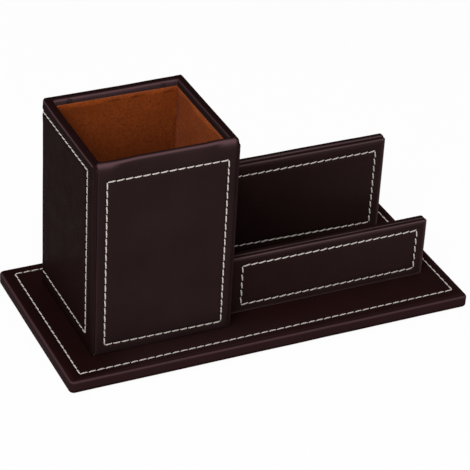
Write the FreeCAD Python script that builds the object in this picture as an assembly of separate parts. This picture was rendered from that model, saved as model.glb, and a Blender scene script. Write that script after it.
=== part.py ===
# Desk stand covered in stitched leather: a square pen cup and two upright panels, which hold
# notes and business cards between them, on one flat base.
# Millimetres. +X runs along the base to the right, +Y to the rear and +Z up. The origin is the
# centre of the base, on the surface that it stands on.
import FreeCAD, Part
import os

# Sheets and boards
leather = 1.0
underlay_felt = 0.6
base_board_thickness = 4.0
wall_board = 2.2
floor_board = 3.0
lining = 0.8
facing_card = 1.0
panel_board = 2.5

# Base
base_length = 200.0
base_depth = 96.2
base_corner_radius = 2.5
hem_width = 14.0
hem_gap = 0.2
underlay_inset = 2.5
underlay_corner_radius = 2.0

# Pen cup. The front wall is a little lower than the other three.
cup_width = 67.5
cup_depth = 64.7
cup_height = 97.7
cup_left_inset = 16.3
cup_front_inset = 15.8
front_rim_drop = 0.9
lip_depth = 2.4
lining_gap = 0.1

# Upright panels, from the cup's right side to their free ends
panel_length = 104.2
front_panel_inset = 24.4
card_slot = 40.0
front_panel_height = 30.5
front_facing_drop = 0.1
rear_panel_height = 50.5
rear_facing_drop = 0.5

# Soft edges of the leather, and the smaller ones where two layers meet
soft_edge = 0.9
meeting_edge = 0.5

# Rounding of the wall boards' top outer edges, larger on the front, whose rim is the softest
board_edge = 1.2
front_board_edge = 1.6

# Stitches: a thread that lies on the leather
stitch_pitch = 4.0
stitch_gap = 0.9
thread_width = 0.8
thread_height = 0.4
seam_edge_gap = 1.4

# Seam margins from the edges of each face
base_seam_left = 6.4
base_seam_right = 4.8
base_seam_front_left = 5.5
base_seam_front_right = 7.3
base_seam_rear = 5.3
cup_front_seam_left = 5.6
cup_front_seam_right = 5.2
cup_front_seam_top = 7.8
cup_front_seam_low_left = 4.9
cup_front_seam_low_right = 4.2
cup_wrap_seam_front = 8.5
cup_wrap_seam_right_front = 7.0
cup_wrap_seam_top = 6.3
cup_wrap_seam_low = 7.3
panel_seam_left = 8.8
panel_seam_right = 5.15
front_panel_seam_top = 4.6
front_panel_seam_low = 4.65
rear_panel_seam_top = 5.85
rear_panel_seam_low_left = 5.8
rear_panel_seam_low_right = 3.95

# Fasteners, driven up through the base board
screw_radius = 1.5
screw_head_radius = 2.9
screw_head_height = 1.6
screw_reach = 2.3
screw_inset = 12.0
pin_radius = 0.6
pin_head_radius = 1.3
pin_head_height = 0.5
pin_reach = 8.0
pin_end_margin = 15.0
pins_per_panel = 3
fastener_clearance = 0.05

# How far apart two points may be and still count as the same place
same_place = 1e-6


def inset(span, amount):
    """A (low, high) span drawn in by an amount at both ends."""
    return (span[0] + amount, span[1] - amount)


def sized(low, size):
    """A (low, high) span from its low end and its size."""
    return (low, low + size)


# Spans that the pieces share
base_x = (-base_length / 2, base_length / 2)
base_y = (-base_depth / 2, base_depth / 2)
base_board_z = sized(underlay_felt + leather, base_board_thickness)
base_top = base_board_z[1] + leather

cup_x = sized(base_x[0] + cup_left_inset, cup_width)
cup_y = sized(base_y[0] + cup_front_inset, cup_depth)
cup_top = base_top + cup_height
cup_front_top = cup_top - front_rim_drop
cup_lip_bottom = cup_top - lip_depth
cup_floor_top = base_top + floor_board
wall = leather + wall_board + lining
board_x = inset(cup_x, leather)
board_y = inset(cup_y, leather)
inner_x = inset(board_x, wall_board)
inner_y = inset(board_y, wall_board)
well_x = inset(cup_x, wall)
well_y = inset(cup_y, wall)
lining_z = (cup_floor_top, cup_lip_bottom - lining_gap)

panel_x = sized(cup_x[1], panel_length)
facing_depth = leather + facing_card
backing_depth = panel_board + leather
panel_depth = facing_depth + backing_depth
front_panel_y = base_y[0] + front_panel_inset
rear_panel_y = front_panel_y + panel_depth + card_slot


def box(x, y, z):
    """A solid box from its (low, high) span along each axis."""
    corner = FreeCAD.Vector(x[0], y[0], z[0])
    return Part.makeBox(x[1] - x[0], y[1] - y[0], z[1] - z[0], corner)


def edges_at(shape, **place):
    """The edges whose ends all lie on the given planes, such as z=base_top."""
    found = shape.Edges
    for axis, value in place.items():
        found = [
            edge
            for edge in found
            if all(abs(getattr(vertex.Point, axis) - value) < same_place for vertex in edge.Vertexes)
        ]
    return found


def upright_edges(shape):
    """The edges that run straight up."""
    return [edge for edge in shape.Edges if abs(edge.tangentAt(edge.FirstParameter).z) > 1 - same_place]


def rounded_slab(x, y, z, corner_radius, top_radius=0.0, bottom_radius=0.0):
    """A box with rounded upright corners, and rounded top and bottom edges where asked."""
    slab = box(x, y, z)
    slab = slab.makeFillet(corner_radius, upright_edges(slab))
    if top_radius:
        slab = slab.makeFillet(top_radius, edges_at(slab, z=z[1]))
    if bottom_radius:
        slab = slab.makeFillet(bottom_radius, edges_at(slab, z=z[0]))
    return slab


def cut_all(shape, tools):
    """A shape with every tool cut from it."""
    for tool in tools:
        shape = shape.cut(tool)
    return shape


# Fasteners. Each is drawn with a growth, so that the holes come from the same shapes.
def cup_screw(x, y, growth=0.0):
    """A countersunk screw, its head flush with the underside of the base board."""
    low = base_board_z[0]
    up = FreeCAD.Vector(0, 0, 1)
    head = Part.makeCone(
        screw_head_radius + growth, screw_radius + growth, screw_head_height, FreeCAD.Vector(x, y, low), up
    )
    shank_length = base_top + screw_reach + growth - low
    shank = Part.makeCylinder(screw_radius + growth, shank_length, FreeCAD.Vector(x, y, low), up)
    return head.fuse(shank).removeSplitter()


def panel_pin(x, y, growth=0.0):
    """A flat-headed pin, its head flush with the underside of the base board."""
    low = base_board_z[0]
    head = Part.makeCylinder(pin_head_radius + growth, pin_head_height + growth, FreeCAD.Vector(x, y, low))
    shank_length = base_top + pin_reach + growth - low
    shank = Part.makeCylinder(pin_radius + growth, shank_length, FreeCAD.Vector(x, y, low))
    return head.fuse(shank).removeSplitter()


def cup_screws(growth=0.0):
    """Four screws, one near each corner of the cup's floor."""
    spots = [(x, y) for x in inset(inner_x, screw_inset) for y in inset(inner_y, screw_inset)]
    return [cup_screw(x, y, growth) for x, y in spots]


def panel_pins(front_y, growth=0.0):
    """The pins of one panel, in a row along the middle of its board."""
    first, last = inset(panel_x, pin_end_margin)
    step = (last - first) / (pins_per_panel - 1)
    middle_y = front_y + facing_depth + panel_board / 2
    return [panel_pin(first + index * step, middle_y, growth) for index in range(pins_per_panel)]


def fastener_holes():
    """The room for every screw and pin."""
    holes = cup_screws(fastener_clearance)
    for front_y in (front_panel_y, rear_panel_y):
        holes += panel_pins(front_y, fastener_clearance)
    return holes


# Base: a board wrapped in leather, which is turned under as a hem, over a felt underlay
def base_board_blank():
    """The base board before its holes."""
    return rounded_slab(
        inset(base_x, leather), inset(base_y, leather), base_board_z, base_corner_radius - leather
    )


def base_board():
    """The board inside the base."""
    return cut_all(base_board_blank(), fastener_holes())


def base_leather():
    """The leather over the base board, with its hem turned under."""
    radius = min(soft_edge, leather)
    cover = rounded_slab(base_x, base_y, (underlay_felt, base_top), base_corner_radius, radius, radius)
    opening = box(inset(base_x, hem_width), inset(base_y, hem_width), (underlay_felt, base_board_z[0]))
    return cut_all(cover, [base_board_blank(), opening] + fastener_holes())


def base_underlay():
    """The felt that the stand rests on, which also fills the space inside the hem."""
    sheet_x = inset(base_x, underlay_inset)
    sheet_y = inset(base_y, underlay_inset)
    sheet = rounded_slab(sheet_x, sheet_y, (0.0, underlay_felt), underlay_corner_radius)
    filling_x = inset(base_x, hem_width + hem_gap)
    filling_y = inset(base_y, hem_width + hem_gap)
    filling = box(filling_x, filling_y, (underlay_felt, base_board_z[0]))
    return sheet.fuse(filling).removeSplitter()


# Pen cup: four wall boards round a floor board, leather outside and suede lining inside
def wall_board_solid(x, y, top, edge_radius, outer_face):
    """A wall board under leather that reaches the given height, rounded along its top outer edge."""
    board_top = top - leather
    board = box(x, y, (base_top, board_top))
    return board.makeFillet(edge_radius, edges_at(board, z=board_top, **outer_face))


def wall_boards():
    """The wall boards by name: the front runs right across, and the rear fits between the sides."""
    side_y = (inner_y[0], board_y[1])
    return {
        "cup_left_board": wall_board_solid(
            (board_x[0], inner_x[0]), side_y, cup_top, board_edge, {"x": board_x[0]}
        ),
        "cup_right_board": wall_board_solid(
            (inner_x[1], board_x[1]), side_y, cup_top, board_edge, {"x": board_x[1]}
        ),
        "cup_front_board": wall_board_solid(
            board_x, (board_y[0], inner_y[0]), cup_front_top, front_board_edge, {"y": board_y[0]}
        ),
        "cup_rear_board": wall_board_solid(
            inner_x, (inner_y[1], board_y[1]), cup_top, board_edge, {"y": board_y[1]}
        ),
    }


def cup_floor_board():
    """The board that closes the cup's bottom and takes the screws."""
    floor = box(inner_x, inner_y, (base_top, cup_floor_top))
    return cut_all(floor, cup_screws(fastener_clearance))


def cup_shell(top):
    """The whole thickness of the cup's walls up to a rim at the given height, softly rounded."""
    shell = box(cup_x, cup_y, (base_top, top))
    radius = min(soft_edge, leather)
    shell = shell.makeFillet(radius, upright_edges(shell) + edges_at(shell, z=top))
    shell = shell.cut(box(well_x, well_y, (base_top, top)))
    rim_edges = []
    for x in well_x:
        rim_edges += edges_at(shell, x=x, z=top)
    for y in well_y:
        rim_edges += edges_at(shell, y=y, z=top)
    shell = shell.makeFillet(min(soft_edge, lining), rim_edges)
    below_lip = box(inner_x, inner_y, (base_top, cup_lip_bottom))
    return cut_all(shell, list(wall_boards().values()) + [below_lip])


def front_leather_zone():
    """Where the front sheet of leather lies: before and over the front board, and down its lip."""
    over_board = box(board_x, (cup_y[0], inner_y[0]), (base_top, cup_top))
    lip = box(well_x, (inner_y[0], well_y[0]), (base_top, cup_top))
    return over_board.fuse(lip)


def cup_front_leather():
    """The leather of the front wall, turned over its rim."""
    return cup_shell(cup_front_top).common(front_leather_zone())


def cup_wrap_leather():
    """The leather that goes round the left, rear and right walls, turned over their rim."""
    return cup_shell(cup_top).cut(front_leather_zone())


def cup_linings():
    """The suede linings by name: front and rear run across, the sides fit between them."""
    side_y = inset(inner_y, lining)
    return {
        "cup_front_lining": box(inner_x, sized(inner_y[0], lining), lining_z),
        "cup_rear_lining": box(inner_x, (well_y[1], inner_y[1]), lining_z),
        "cup_left_lining": box(sized(inner_x[0], lining), side_y, lining_z),
        "cup_right_lining": box((well_x[1], inner_x[1]), side_y, lining_z),
        "cup_floor_lining": box(well_x, well_y, sized(cup_floor_top, lining)),
    }


# Upright panels: a board wrapped in leather at the back, and a stitched facing on its front
def panel_core(y, top):
    """The board or card inside a layer of a panel."""
    return box(inset(panel_x, leather), y, (base_top + leather, top - leather))


def panel_cover(y, top, outer_y, meeting_y, core):
    """The leather round a core: soft at its outer face, less so where it meets the other layer."""
    cover = box(panel_x, y, (base_top, top))
    outer_edges = edges_at(cover, y=outer_y, z=top)
    for x in panel_x:
        outer_edges += edges_at(cover, y=outer_y, x=x)
    cover = cover.makeFillet(min(soft_edge, leather), outer_edges)
    cover = cover.makeFillet(min(meeting_edge, leather / 2), edges_at(cover, y=meeting_y, z=top))
    return cover.cut(core)


def panel_layers(name, front_y, height, facing_drop):
    """The boards and leathers of one panel by name."""
    top = base_top + height
    facing_top = top - facing_drop
    meeting_y = front_y + facing_depth
    rear_y = front_y + panel_depth
    card = panel_core((front_y + leather, meeting_y), facing_top)
    board = panel_core((meeting_y, rear_y - leather), top)
    facing = panel_cover((front_y, meeting_y), facing_top, front_y, meeting_y, card)
    backing = panel_cover((meeting_y, rear_y), top, rear_y, meeting_y, board)
    holes = panel_pins(front_y, fastener_clearance)
    return {
        name + "_board": cut_all(board, holes),
        name + "_leather": cut_all(backing, holes),
        name + "_facing_card": card,
        name + "_facing_leather": facing,
        name + "_pins": Part.makeCompound(panel_pins(front_y)),
    }


# Stitching
def stitch(start, end, outward):
    """One stitch: a low round bar between two points of a face."""
    along = (end - start).normalize()
    side = along.cross(outward) * (thread_width / 2)
    foot = start + along * (stitch_gap / 2)
    arch = Part.Arc(foot - side, foot + outward * thread_height, foot + side).toShape()
    base = Part.makeLine(foot + side, foot - side)
    profile = Part.Face(Part.Wire([arch, base]))
    return profile.extrude(along * (start.distanceToPoint(end) - stitch_gap))


def side_stitches(start, end, outward):
    """Stitches of equal length along one straight side of a seam."""
    count = max(1, round(start.distanceToPoint(end) / stitch_pitch))
    points = [start + (end - start) * (index / count) for index in range(count + 1)]
    return [stitch(foot, head, outward) for foot, head in zip(points[:-1], points[1:])]


def flat_seam(corners, outward, closed=True):
    """The stitches of a seam on one face, which meet in a hole at each of its corners."""
    vectors = [FreeCAD.Vector(*corner) for corner in corners]
    ends = vectors[1:] + vectors[:1] if closed else vectors[1:]
    bars = []
    for start, end in zip(vectors, ends):
        bars += side_stitches(start, end, FreeCAD.Vector(*outward))
    return bars


def base_stitching():
    """The seam round the top of the base."""
    left = base_x[0] + base_seam_left
    right = base_x[1] - base_seam_right
    rear = base_y[1] - base_seam_rear
    corners = [
        (left, base_y[0] + base_seam_front_left, base_top),
        (right, base_y[0] + base_seam_front_right, base_top),
        (right, rear, base_top),
        (left, rear, base_top),
    ]
    return flat_seam(corners, (0, 0, 1))


def cup_front_stitching():
    """The seam round the front of the cup."""
    left = cup_x[0] + cup_front_seam_left
    right = cup_x[1] - cup_front_seam_right
    top = cup_front_top - cup_front_seam_top
    face = cup_y[0]
    corners = [
        (left, face, base_top + cup_front_seam_low_left),
        (right, face, base_top + cup_front_seam_low_right),
        (right, face, top),
        (left, face, top),
    ]
    return flat_seam(corners, (0, -1, 0))


def behind_panel(bar):
    """Whether the end of a panel presses on this stitch of the cup's right wall."""
    reach = bar.BoundBox
    for front_y, height in ((front_panel_y, front_panel_height), (rear_panel_y, rear_panel_height)):
        beside = reach.YMax > front_y and reach.YMin < front_y + panel_depth
        if beside and reach.ZMin < base_top + height:
            return True
    return False


def cup_side_seam(x, outward, front_margin):
    """The seam of one side wall: along its top and bottom, and up its front."""
    low = base_top + cup_wrap_seam_low
    top = cup_top - cup_wrap_seam_top
    front = cup_y[0] + front_margin
    rear = cup_y[1] - seam_edge_gap
    corners = [(x, rear, low), (x, front, low), (x, front, top), (x, rear, top)]
    return flat_seam(corners, outward, closed=False)


def cup_wrap_stitching():
    """The seam along the top and bottom of the left, rear and right walls, closed at both fronts."""
    left_seam = cup_side_seam(cup_x[0], (-1, 0, 0), cup_wrap_seam_front)
    right_seam = cup_side_seam(cup_x[1], (1, 0, 0), cup_wrap_seam_right_front)
    rear_seam = []
    for height in (base_top + cup_wrap_seam_low, cup_top - cup_wrap_seam_top):
        ends = [(x, cup_y[1], height) for x in inset(cup_x, seam_edge_gap)]
        rear_seam += flat_seam(ends, (0, 1, 0), closed=False)
    return left_seam + rear_seam + [bar for bar in right_seam if not behind_panel(bar)]


def panel_stitching(front_y, height, facing_drop, top_margin, low_left, low_right):
    """The seam round the facing of one panel."""
    left = panel_x[0] + panel_seam_left
    right = panel_x[1] - panel_seam_right
    top = base_top + height - facing_drop - top_margin
    corners = [
        (left, front_y, base_top + low_left),
        (right, front_y, base_top + low_right),
        (right, front_y, top),
        (left, front_y, top),
    ]
    return flat_seam(corners, (0, -1, 0))


def make_parts():
    """Every piece of the stand by name."""
    parts = {
        "base_underlay": base_underlay(),
        "base_board": base_board(),
        "base_leather": base_leather(),
        "base_stitching": Part.makeCompound(base_stitching()),
        "cup_floor_board": cup_floor_board(),
        "cup_front_leather": cup_front_leather(),
        "cup_wrap_leather": cup_wrap_leather(),
        "cup_front_stitching": Part.makeCompound(cup_front_stitching()),
        "cup_wrap_stitching": Part.makeCompound(cup_wrap_stitching()),
        "cup_screws": Part.makeCompound(cup_screws()),
    }
    parts.update(wall_boards())
    parts.update(cup_linings())
    parts.update(panel_layers("front_panel", front_panel_y, front_panel_height, front_facing_drop))
    parts.update(panel_layers("rear_panel", rear_panel_y, rear_panel_height, rear_facing_drop))
    parts["front_panel_stitching"] = Part.makeCompound(
        panel_stitching(
            front_panel_y,
            front_panel_height,
            front_facing_drop,
            front_panel_seam_top,
            front_panel_seam_low,
            front_panel_seam_low,
        )
    )
    parts["rear_panel_stitching"] = Part.makeCompound(
        panel_stitching(
            rear_panel_y,
            rear_panel_height,
            rear_facing_drop,
            rear_panel_seam_top,
            rear_panel_seam_low_left,
            rear_panel_seam_low_right,
        )
    )
    return parts


os.makedirs("parts", exist_ok=True)
for node, shape in sorted(make_parts().items()):
    shape.exportStep("parts/" + node + ".step")
    print(node, len(shape.Solids), "solids, volume", round(shape.Volume, 1), "valid", shape.isValid())
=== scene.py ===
"""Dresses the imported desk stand: stitched leather over boards, a suede-lined pen cup and upright panels.

Sizes are in millimetres, in the frame of the CAD model, and every mesh is written in metres.
"""

import logging
import math
from dataclasses import dataclass
from enum import Enum
from typing import Any, Sequence

import bmesh
import bpy
import numpy as np
from mathutils import Matrix, Vector, noise

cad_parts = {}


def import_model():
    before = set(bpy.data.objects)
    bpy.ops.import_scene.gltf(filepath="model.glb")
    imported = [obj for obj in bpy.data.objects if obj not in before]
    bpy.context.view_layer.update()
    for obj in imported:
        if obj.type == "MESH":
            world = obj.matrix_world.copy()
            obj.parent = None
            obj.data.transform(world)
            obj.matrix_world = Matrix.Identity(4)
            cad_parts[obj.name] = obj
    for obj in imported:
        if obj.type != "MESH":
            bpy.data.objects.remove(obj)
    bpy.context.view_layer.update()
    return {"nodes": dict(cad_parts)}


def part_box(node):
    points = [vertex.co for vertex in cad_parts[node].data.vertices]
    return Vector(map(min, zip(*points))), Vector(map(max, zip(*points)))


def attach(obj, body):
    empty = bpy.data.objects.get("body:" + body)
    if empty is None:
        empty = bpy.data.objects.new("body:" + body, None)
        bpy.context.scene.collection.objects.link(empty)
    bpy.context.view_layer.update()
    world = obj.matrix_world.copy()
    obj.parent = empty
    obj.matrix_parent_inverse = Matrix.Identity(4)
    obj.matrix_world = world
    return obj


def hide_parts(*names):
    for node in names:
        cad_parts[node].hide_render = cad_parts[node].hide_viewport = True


log = logging.getLogger("desk_stand")

MM = 0.001
# Points closer together than this, in metres, are one.
MERGE_DISTANCE = 1e-6
# Faces that meet at more than this, in degrees, keep a sharp edge between them.
SHARP_ANGLE = 58.0
Colour = tuple[float, float, float]
# The low and the high end of a range, or the values at two ends.
Span = tuple[float, float]
Point2 = tuple[float, float]
# A patch of painted light on a face: its place, how far it reaches along each axis, and how much lighter it
# is, darker when below 0.
PaintedLightPatch = tuple[float, float, float, float, float]


class Side(Enum):
    """Which way a face looks, as its right-hand, upward and outward directions."""

    UP = ((1, 0, 0), (0, 1, 0), (0, 0, 1))
    FRONT = ((1, 0, 0), (0, 0, 1), (0, -1, 0))
    REAR = ((-1, 0, 0), (0, 0, 1), (0, 1, 0))
    LEFT = ((0, -1, 0), (0, 0, 1), (-1, 0, 0))
    RIGHT = ((0, 1, 0), (0, 0, 1), (1, 0, 0))

    @property
    def outward(self) -> tuple[int, int, int]:
        """The direction out of the face."""
        return self.value[2]

    def world(self, flat: np.ndarray, height: float | np.ndarray) -> np.ndarray:
        """Points in space from points of the face and how far out they lie."""
        level = np.broadcast_to(height, flat.shape[:-1])
        return np.concatenate([flat, level[..., None]], axis=-1) @ np.array(self.value, float)

    def spans(self, node: str) -> tuple[Span, Span, Span]:
        """How far a CAD node reaches to the right, upward and outward, in millimetres."""
        ends = np.array(node_box(node)) @ np.array(self.value, float).T
        return tuple((min(pair), max(pair)) for pair in ends.T)


def smoothstep(low: float, high: float, value: np.ndarray) -> np.ndarray:
    """A smooth ramp from 0 at low to 1 at high, which may run either way."""
    share = np.clip((value - low) / (high - low), 0.0, 1.0)
    return share * share * (3.0 - 2.0 * share)


def node_box(node: str) -> tuple[np.ndarray, np.ndarray]:
    """The lowest and highest corner of a CAD node, in millimetres."""
    low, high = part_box(node)
    return np.array(low) / MM, np.array(high) / MM


def waves(points: np.ndarray, length: float, seed: float) -> np.ndarray:
    """Slow unevenness of hand-covered leather.

    Args:
        points: Points in millimetres, any shape that ends in 3.
        length: Distance between two rises, in millimetres.
        seed: Shifts the pattern, so that no two pieces share it.

    Returns:
        A value from about -1 to 1 for each point.
    """
    flat = points.reshape(-1, 3) / length
    values = [noise.noise(Vector((x + seed, y - seed, z + 2.0 * seed))) for x, y, z in flat]
    return np.array(values).reshape(points.shape[:-1])


def unsettled(points: np.ndarray, amount: float, length: float, seed: float, step: float) -> np.ndarray:
    """Points moved as leather laid by hand lies, with a pattern shifted by a step from axis to axis."""
    shift = [waves(points, length, seed + step * axis) for axis in range(3)]
    return points + amount * np.stack(shift, axis=-1)


def path_distance(points: np.ndarray, line: np.ndarray) -> np.ndarray:
    """How far flat points lie from a line of short runs.

    Args:
        points: Flat points, any shape that ends in 2.
        line: The line's points, one a row.

    Returns:
        The distance of each point, in the unit of the points.
    """
    best = np.full(points.shape[:-1], 1e9)
    for start, end in zip(line[:-1], line[1:]):
        along = end - start
        share = np.clip(((points - start) @ along) / max(along @ along, 1e-12), 0.0, 1.0)
        gap = np.linalg.norm(points - start - share[..., None] * along, axis=-1)
        best = np.minimum(best, gap)
    return best


def corner_arc(corners: np.ndarray, index: int, radius: float, steps: int) -> np.ndarray:
    """The small arc that turns a line at one of its corners.

    Args:
        corners: The corners, one a row, in any number of dimensions.
        index: Which corner.
        radius: The arc's radius.
        steps: How many runs the arc has.

    Returns:
        Its points, from where the line leaves the run before to where it joins the run after.
    """
    corner = corners[index]
    back = corners[index - 1] - corner
    ahead = corners[(index + 1) % len(corners)] - corner
    back, ahead = back / np.linalg.norm(back), ahead / np.linalg.norm(ahead)
    middle = (back + ahead) / np.linalg.norm(back + ahead)
    half_cosine = middle @ ahead
    half_sine = math.sqrt(1.0 - half_cosine**2)
    centre = middle * radius / half_sine
    leave = back * radius * half_cosine / half_sine - centre
    rejoin = ahead * radius * half_cosine / half_sine - centre
    across = rejoin - (rejoin @ leave) * leave / radius**2
    across = across * radius / np.linalg.norm(across)
    angles = np.linspace(0.0, math.pi - 2.0 * math.asin(half_sine), steps + 1)
    turned = [math.cos(angle) * leave + math.sin(angle) * across for angle in angles]
    return corner + centre + np.array(turned)


def seam_line(corners: Sequence[Sequence[float]], radius: float, closed: bool = True) -> np.ndarray:
    """The line of a seam, with each corner turned on a small arc.

    Args:
        corners: The corners of the seam.
        radius: Radius of the arcs.
        closed: Whether the seam returns to its start.

    Returns:
        Points along the seam. A closed seam starts where the arc of its first corner does.
    """
    known = np.array(corners, float)
    turns = range(len(known)) if closed else range(1, len(known) - 1)
    arcs = [corner_arc(known, index, radius, 8) for index in turns]
    parts = arcs + [arcs[0][:1]] if closed else [known[:1], *arcs, known[-1:]]
    return np.vstack(parts)


def four_sides(corners: np.ndarray) -> list[np.ndarray]:
    """The two ends of each side between four corners, in turn."""
    return [np.array(pair) for pair in zip(corners, np.roll(corners, -1, axis=0))]


def seam_corners(across: Span, low: Span, top: float) -> np.ndarray:
    """A seam's corners, counter-clockwise. Its lower side runs from the first low height to the second."""
    return np.array([(across[0], low[0]), (across[1], low[1]), (across[1], top), (across[0], top)])


def offset_corners(corners: np.ndarray, outward: Sequence[float]) -> np.ndarray:
    """Moves each side of a flat, four-sided outline outwards.

    Args:
        corners: Its corners, counter-clockwise.
        outward: How far each side moves, from the one after the first corner on.

    Returns:
        The new corners.
    """
    sides = []
    for index in range(4):
        run = corners[(index + 1) % 4] - corners[index]
        normal = np.array([run[1], -run[0]]) / np.linalg.norm(run)
        sides.append((normal, normal @ corners[index] + outward[index]))
    moved = []
    for index in range(4):
        (first, at_first), (second, at_second) = sides[index - 1], sides[index]
        moved.append(np.linalg.solve(np.array([first, second]), np.array([at_first, at_second])))
    return np.array(moved)


def box_corners(across: Span, upward: Span) -> np.ndarray:
    """The corners of a flat box, counter-clockwise from its low corner."""
    return seam_corners(across, (upward[0], upward[0]), upward[1])


@dataclass(frozen=True)
class Grain:
    """How many points a ring has along its long and short sides, and round each half of a corner."""

    long_side: int
    short_side: int
    half_corner: int = 4

    def ring(self, corners: np.ndarray, radius: float) -> np.ndarray:
        """A closed ring through four corners.

        Args:
            corners: The flat corners, counter-clockwise, the first side a long one.
            radius: The radius that turns each corner.

        Returns:
            The ring's points, which start in the middle of the first corner.
        """
        half = self.half_corner
        arcs = [corner_arc(corners, index, radius, 2 * half) for index in range(4)]
        points = []
        for index in range(4):
            count = self.long_side if index % 2 == 0 else self.short_side
            start, end = arcs[index][-1], arcs[(index + 1) % 4][0]
            run = [start + (end - start) * step / count for step in range(1, count)]
            points += [*arcs[index][half:], *run, *arcs[(index + 1) % 4][:half]]
        return np.array(points)

    def middle(self, ring: np.ndarray) -> np.ndarray:
        """A grid that fills a ring.

        Args:
            ring: The ring's points, flat or in space.

        Returns:
            The grid, rows by columns, whose border is the ring.
        """
        across, upward = self.long_side + 2 * self.half_corner, self.short_side + 2 * self.half_corner
        looped = np.vstack([ring, ring[:1]])
        low, right = looped[: across + 1], looped[across : across + upward + 1]
        top = looped[across + upward : 2 * across + upward + 1][::-1]
        left = looped[2 * across + upward :][::-1]
        along = self._shares(low)[None, :, None]
        above = self._shares(right)[:, None, None]
        edges = (1 - above) * low[None] + above * top[None]
        edges = edges + (1 - along) * left[:, None] + along * right[:, None]
        corners = (1 - along) * (1 - above) * low[0] + along * (1 - above) * low[-1]
        return edges - corners - (1 - along) * above * top[0] - along * above * top[-1]

    @staticmethod
    def _shares(line: np.ndarray) -> np.ndarray:
        """How far along a line each of its points is, from 0 to 1."""
        steps = np.linalg.norm(np.diff(line, axis=0), axis=1)
        return np.concatenate([[0.0], np.cumsum(steps)]) / steps.sum()


class Loft:
    """A closed mesh through rings of points, with a grid over each end."""

    def __init__(self, grain: Grain) -> None:
        """Starts a loft.

        Args:
            grain: The grain that all its rings have.
        """
        self.grain = grain
        self.rings: list[np.ndarray] = []
        self.ring_wear_and_painted_light: list[np.ndarray] = []

    def add(self, ring: np.ndarray, wear_and_painted_light: float | np.ndarray = 0.0) -> None:
        """Adds a ring of points in millimetres, with its wear and painted light from -1, shade, to 1, rubbed
        highlight.
        """
        self.rings.append(ring)
        self.ring_wear_and_painted_light.append(np.broadcast_to(wear_and_painted_light, len(ring)))

    def build(
        self, name: str, first_cap: np.ndarray, last_cap: np.ndarray, last_wear_and_painted_light: np.ndarray | None = None
    ) -> bpy.types.Object:
        """Makes the mesh object.

        Args:
            name: The piece's name.
            first_cap: The grid over the first ring.
            last_cap: The grid over the last ring.
            last_wear_and_painted_light: The wear and painted light of the grid over the last ring. None means
                none.

        Returns:
            The object, linked to the scene.
        """
        around = len(self.rings[0])
        points = [*self.rings, first_cap.reshape(-1, 3), last_cap.reshape(-1, 3)]
        faces = []
        for level in range(len(self.rings) - 1):
            for index in range(around):
                after = (index + 1) % around
                low, high = level * around, (level + 1) * around
                faces.append((low + index, low + after, high + after, high + index))
        start = len(self.rings) * around
        for cap in (first_cap, last_cap):
            faces += grid_faces(start, cap.shape[0], cap.shape[1])
            start += cap.shape[0] * cap.shape[1]
        blank = np.zeros(first_cap.size // 3)
        worn_and_painted_light = np.zeros(last_cap.size // 3) if last_wear_and_painted_light is None else last_wear_and_painted_light.ravel()
        wear_and_painted_light = np.concatenate([*self.ring_wear_and_painted_light, blank, worn_and_painted_light])
        return mesh_object(name, np.vstack(points), faces, {"wear_and_painted_light": wear_and_painted_light})


def grid_faces(start: int, rows: int, columns: int) -> list[tuple[int, ...]]:
    """The faces of a grid of points.

    Args:
        start: The number of its first point.
        rows: How many rows it has.
        columns: How many points a row has.

    Returns:
        A face between each four neighbours.
    """
    faces = []
    for row in range(rows - 1):
        for column in range(columns - 1):
            corner = start + row * columns + column
            faces.append((corner, corner + 1, corner + columns + 1, corner + columns))
    return faces


def mesh_object(
    name: str, points: np.ndarray, faces: Sequence[tuple[int, ...]], marks: dict[str, np.ndarray]
) -> bpy.types.Object:
    """Makes a closed, smooth mesh object.

    Args:
        name: The piece's name.
        points: Its points in millimetres.
        faces: Its faces.
        marks: Values that each point carries, by name.

    Returns:
        The object, linked to the scene, with its doubles merged and its faces turned outwards.
    """
    mesh = bpy.data.meshes.new(name)
    mesh.from_pydata((points * MM).tolist(), [], faces)
    for mark, values in marks.items():
        attribute = mesh.attributes.new(mark, "FLOAT", "POINT")
        attribute.data.foreach_set("value", values.astype(np.float32))
    shape = bmesh.new()
    shape.from_mesh(mesh)
    bmesh.ops.remove_doubles(shape, verts=shape.verts[:], dist=MERGE_DISTANCE)
    loose = [vertex for vertex in shape.verts if not vertex.link_faces]
    bmesh.ops.delete(shape, geom=loose, context="VERTS")
    bmesh.ops.recalc_face_normals(shape, faces=shape.faces[:])
    shape.to_mesh(mesh)
    shape.free()
    mesh.shade_smooth()
    mesh.set_sharp_from_angle(angle=math.radians(SHARP_ANGLE))
    made = bpy.data.objects.new(name, mesh)
    bpy.context.scene.collection.objects.link(made)
    return made


def round_line(corners: Sequence[Point2], per_bend: int) -> np.ndarray:
    """A smooth line through control points, by Catmull and Rom's rule.

    Args:
        corners: The control points, which the line passes through.
        per_bend: Points for each run between two of them.

    Returns:
        Flat points, one a row.
    """
    known = np.array(corners, float)
    padded = np.vstack([2 * known[0] - known[1], known, 2 * known[-1] - known[-2]])
    points = []
    for before, start, end, after in zip(padded, padded[1:], padded[2:], padded[3:]):
        for share in np.arange(per_bend) / per_bend:
            linear = 2 * start + (end - before) * share
            square = (2 * before - 5 * start + 4 * end - after) * share**2
            cube = (3 * start - before - 3 * end + after) * share**3
            points.append(0.5 * (linear + square + cube))
    return np.array([*points, known[-1]])


def spread(low: float, high: float, about: float) -> list[float]:
    """Evenly spaced values strictly between two ends, about so far apart."""
    count = max(1, round((high - low) / about))
    return [low + (high - low) * index / count for index in range(1, count)]


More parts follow.
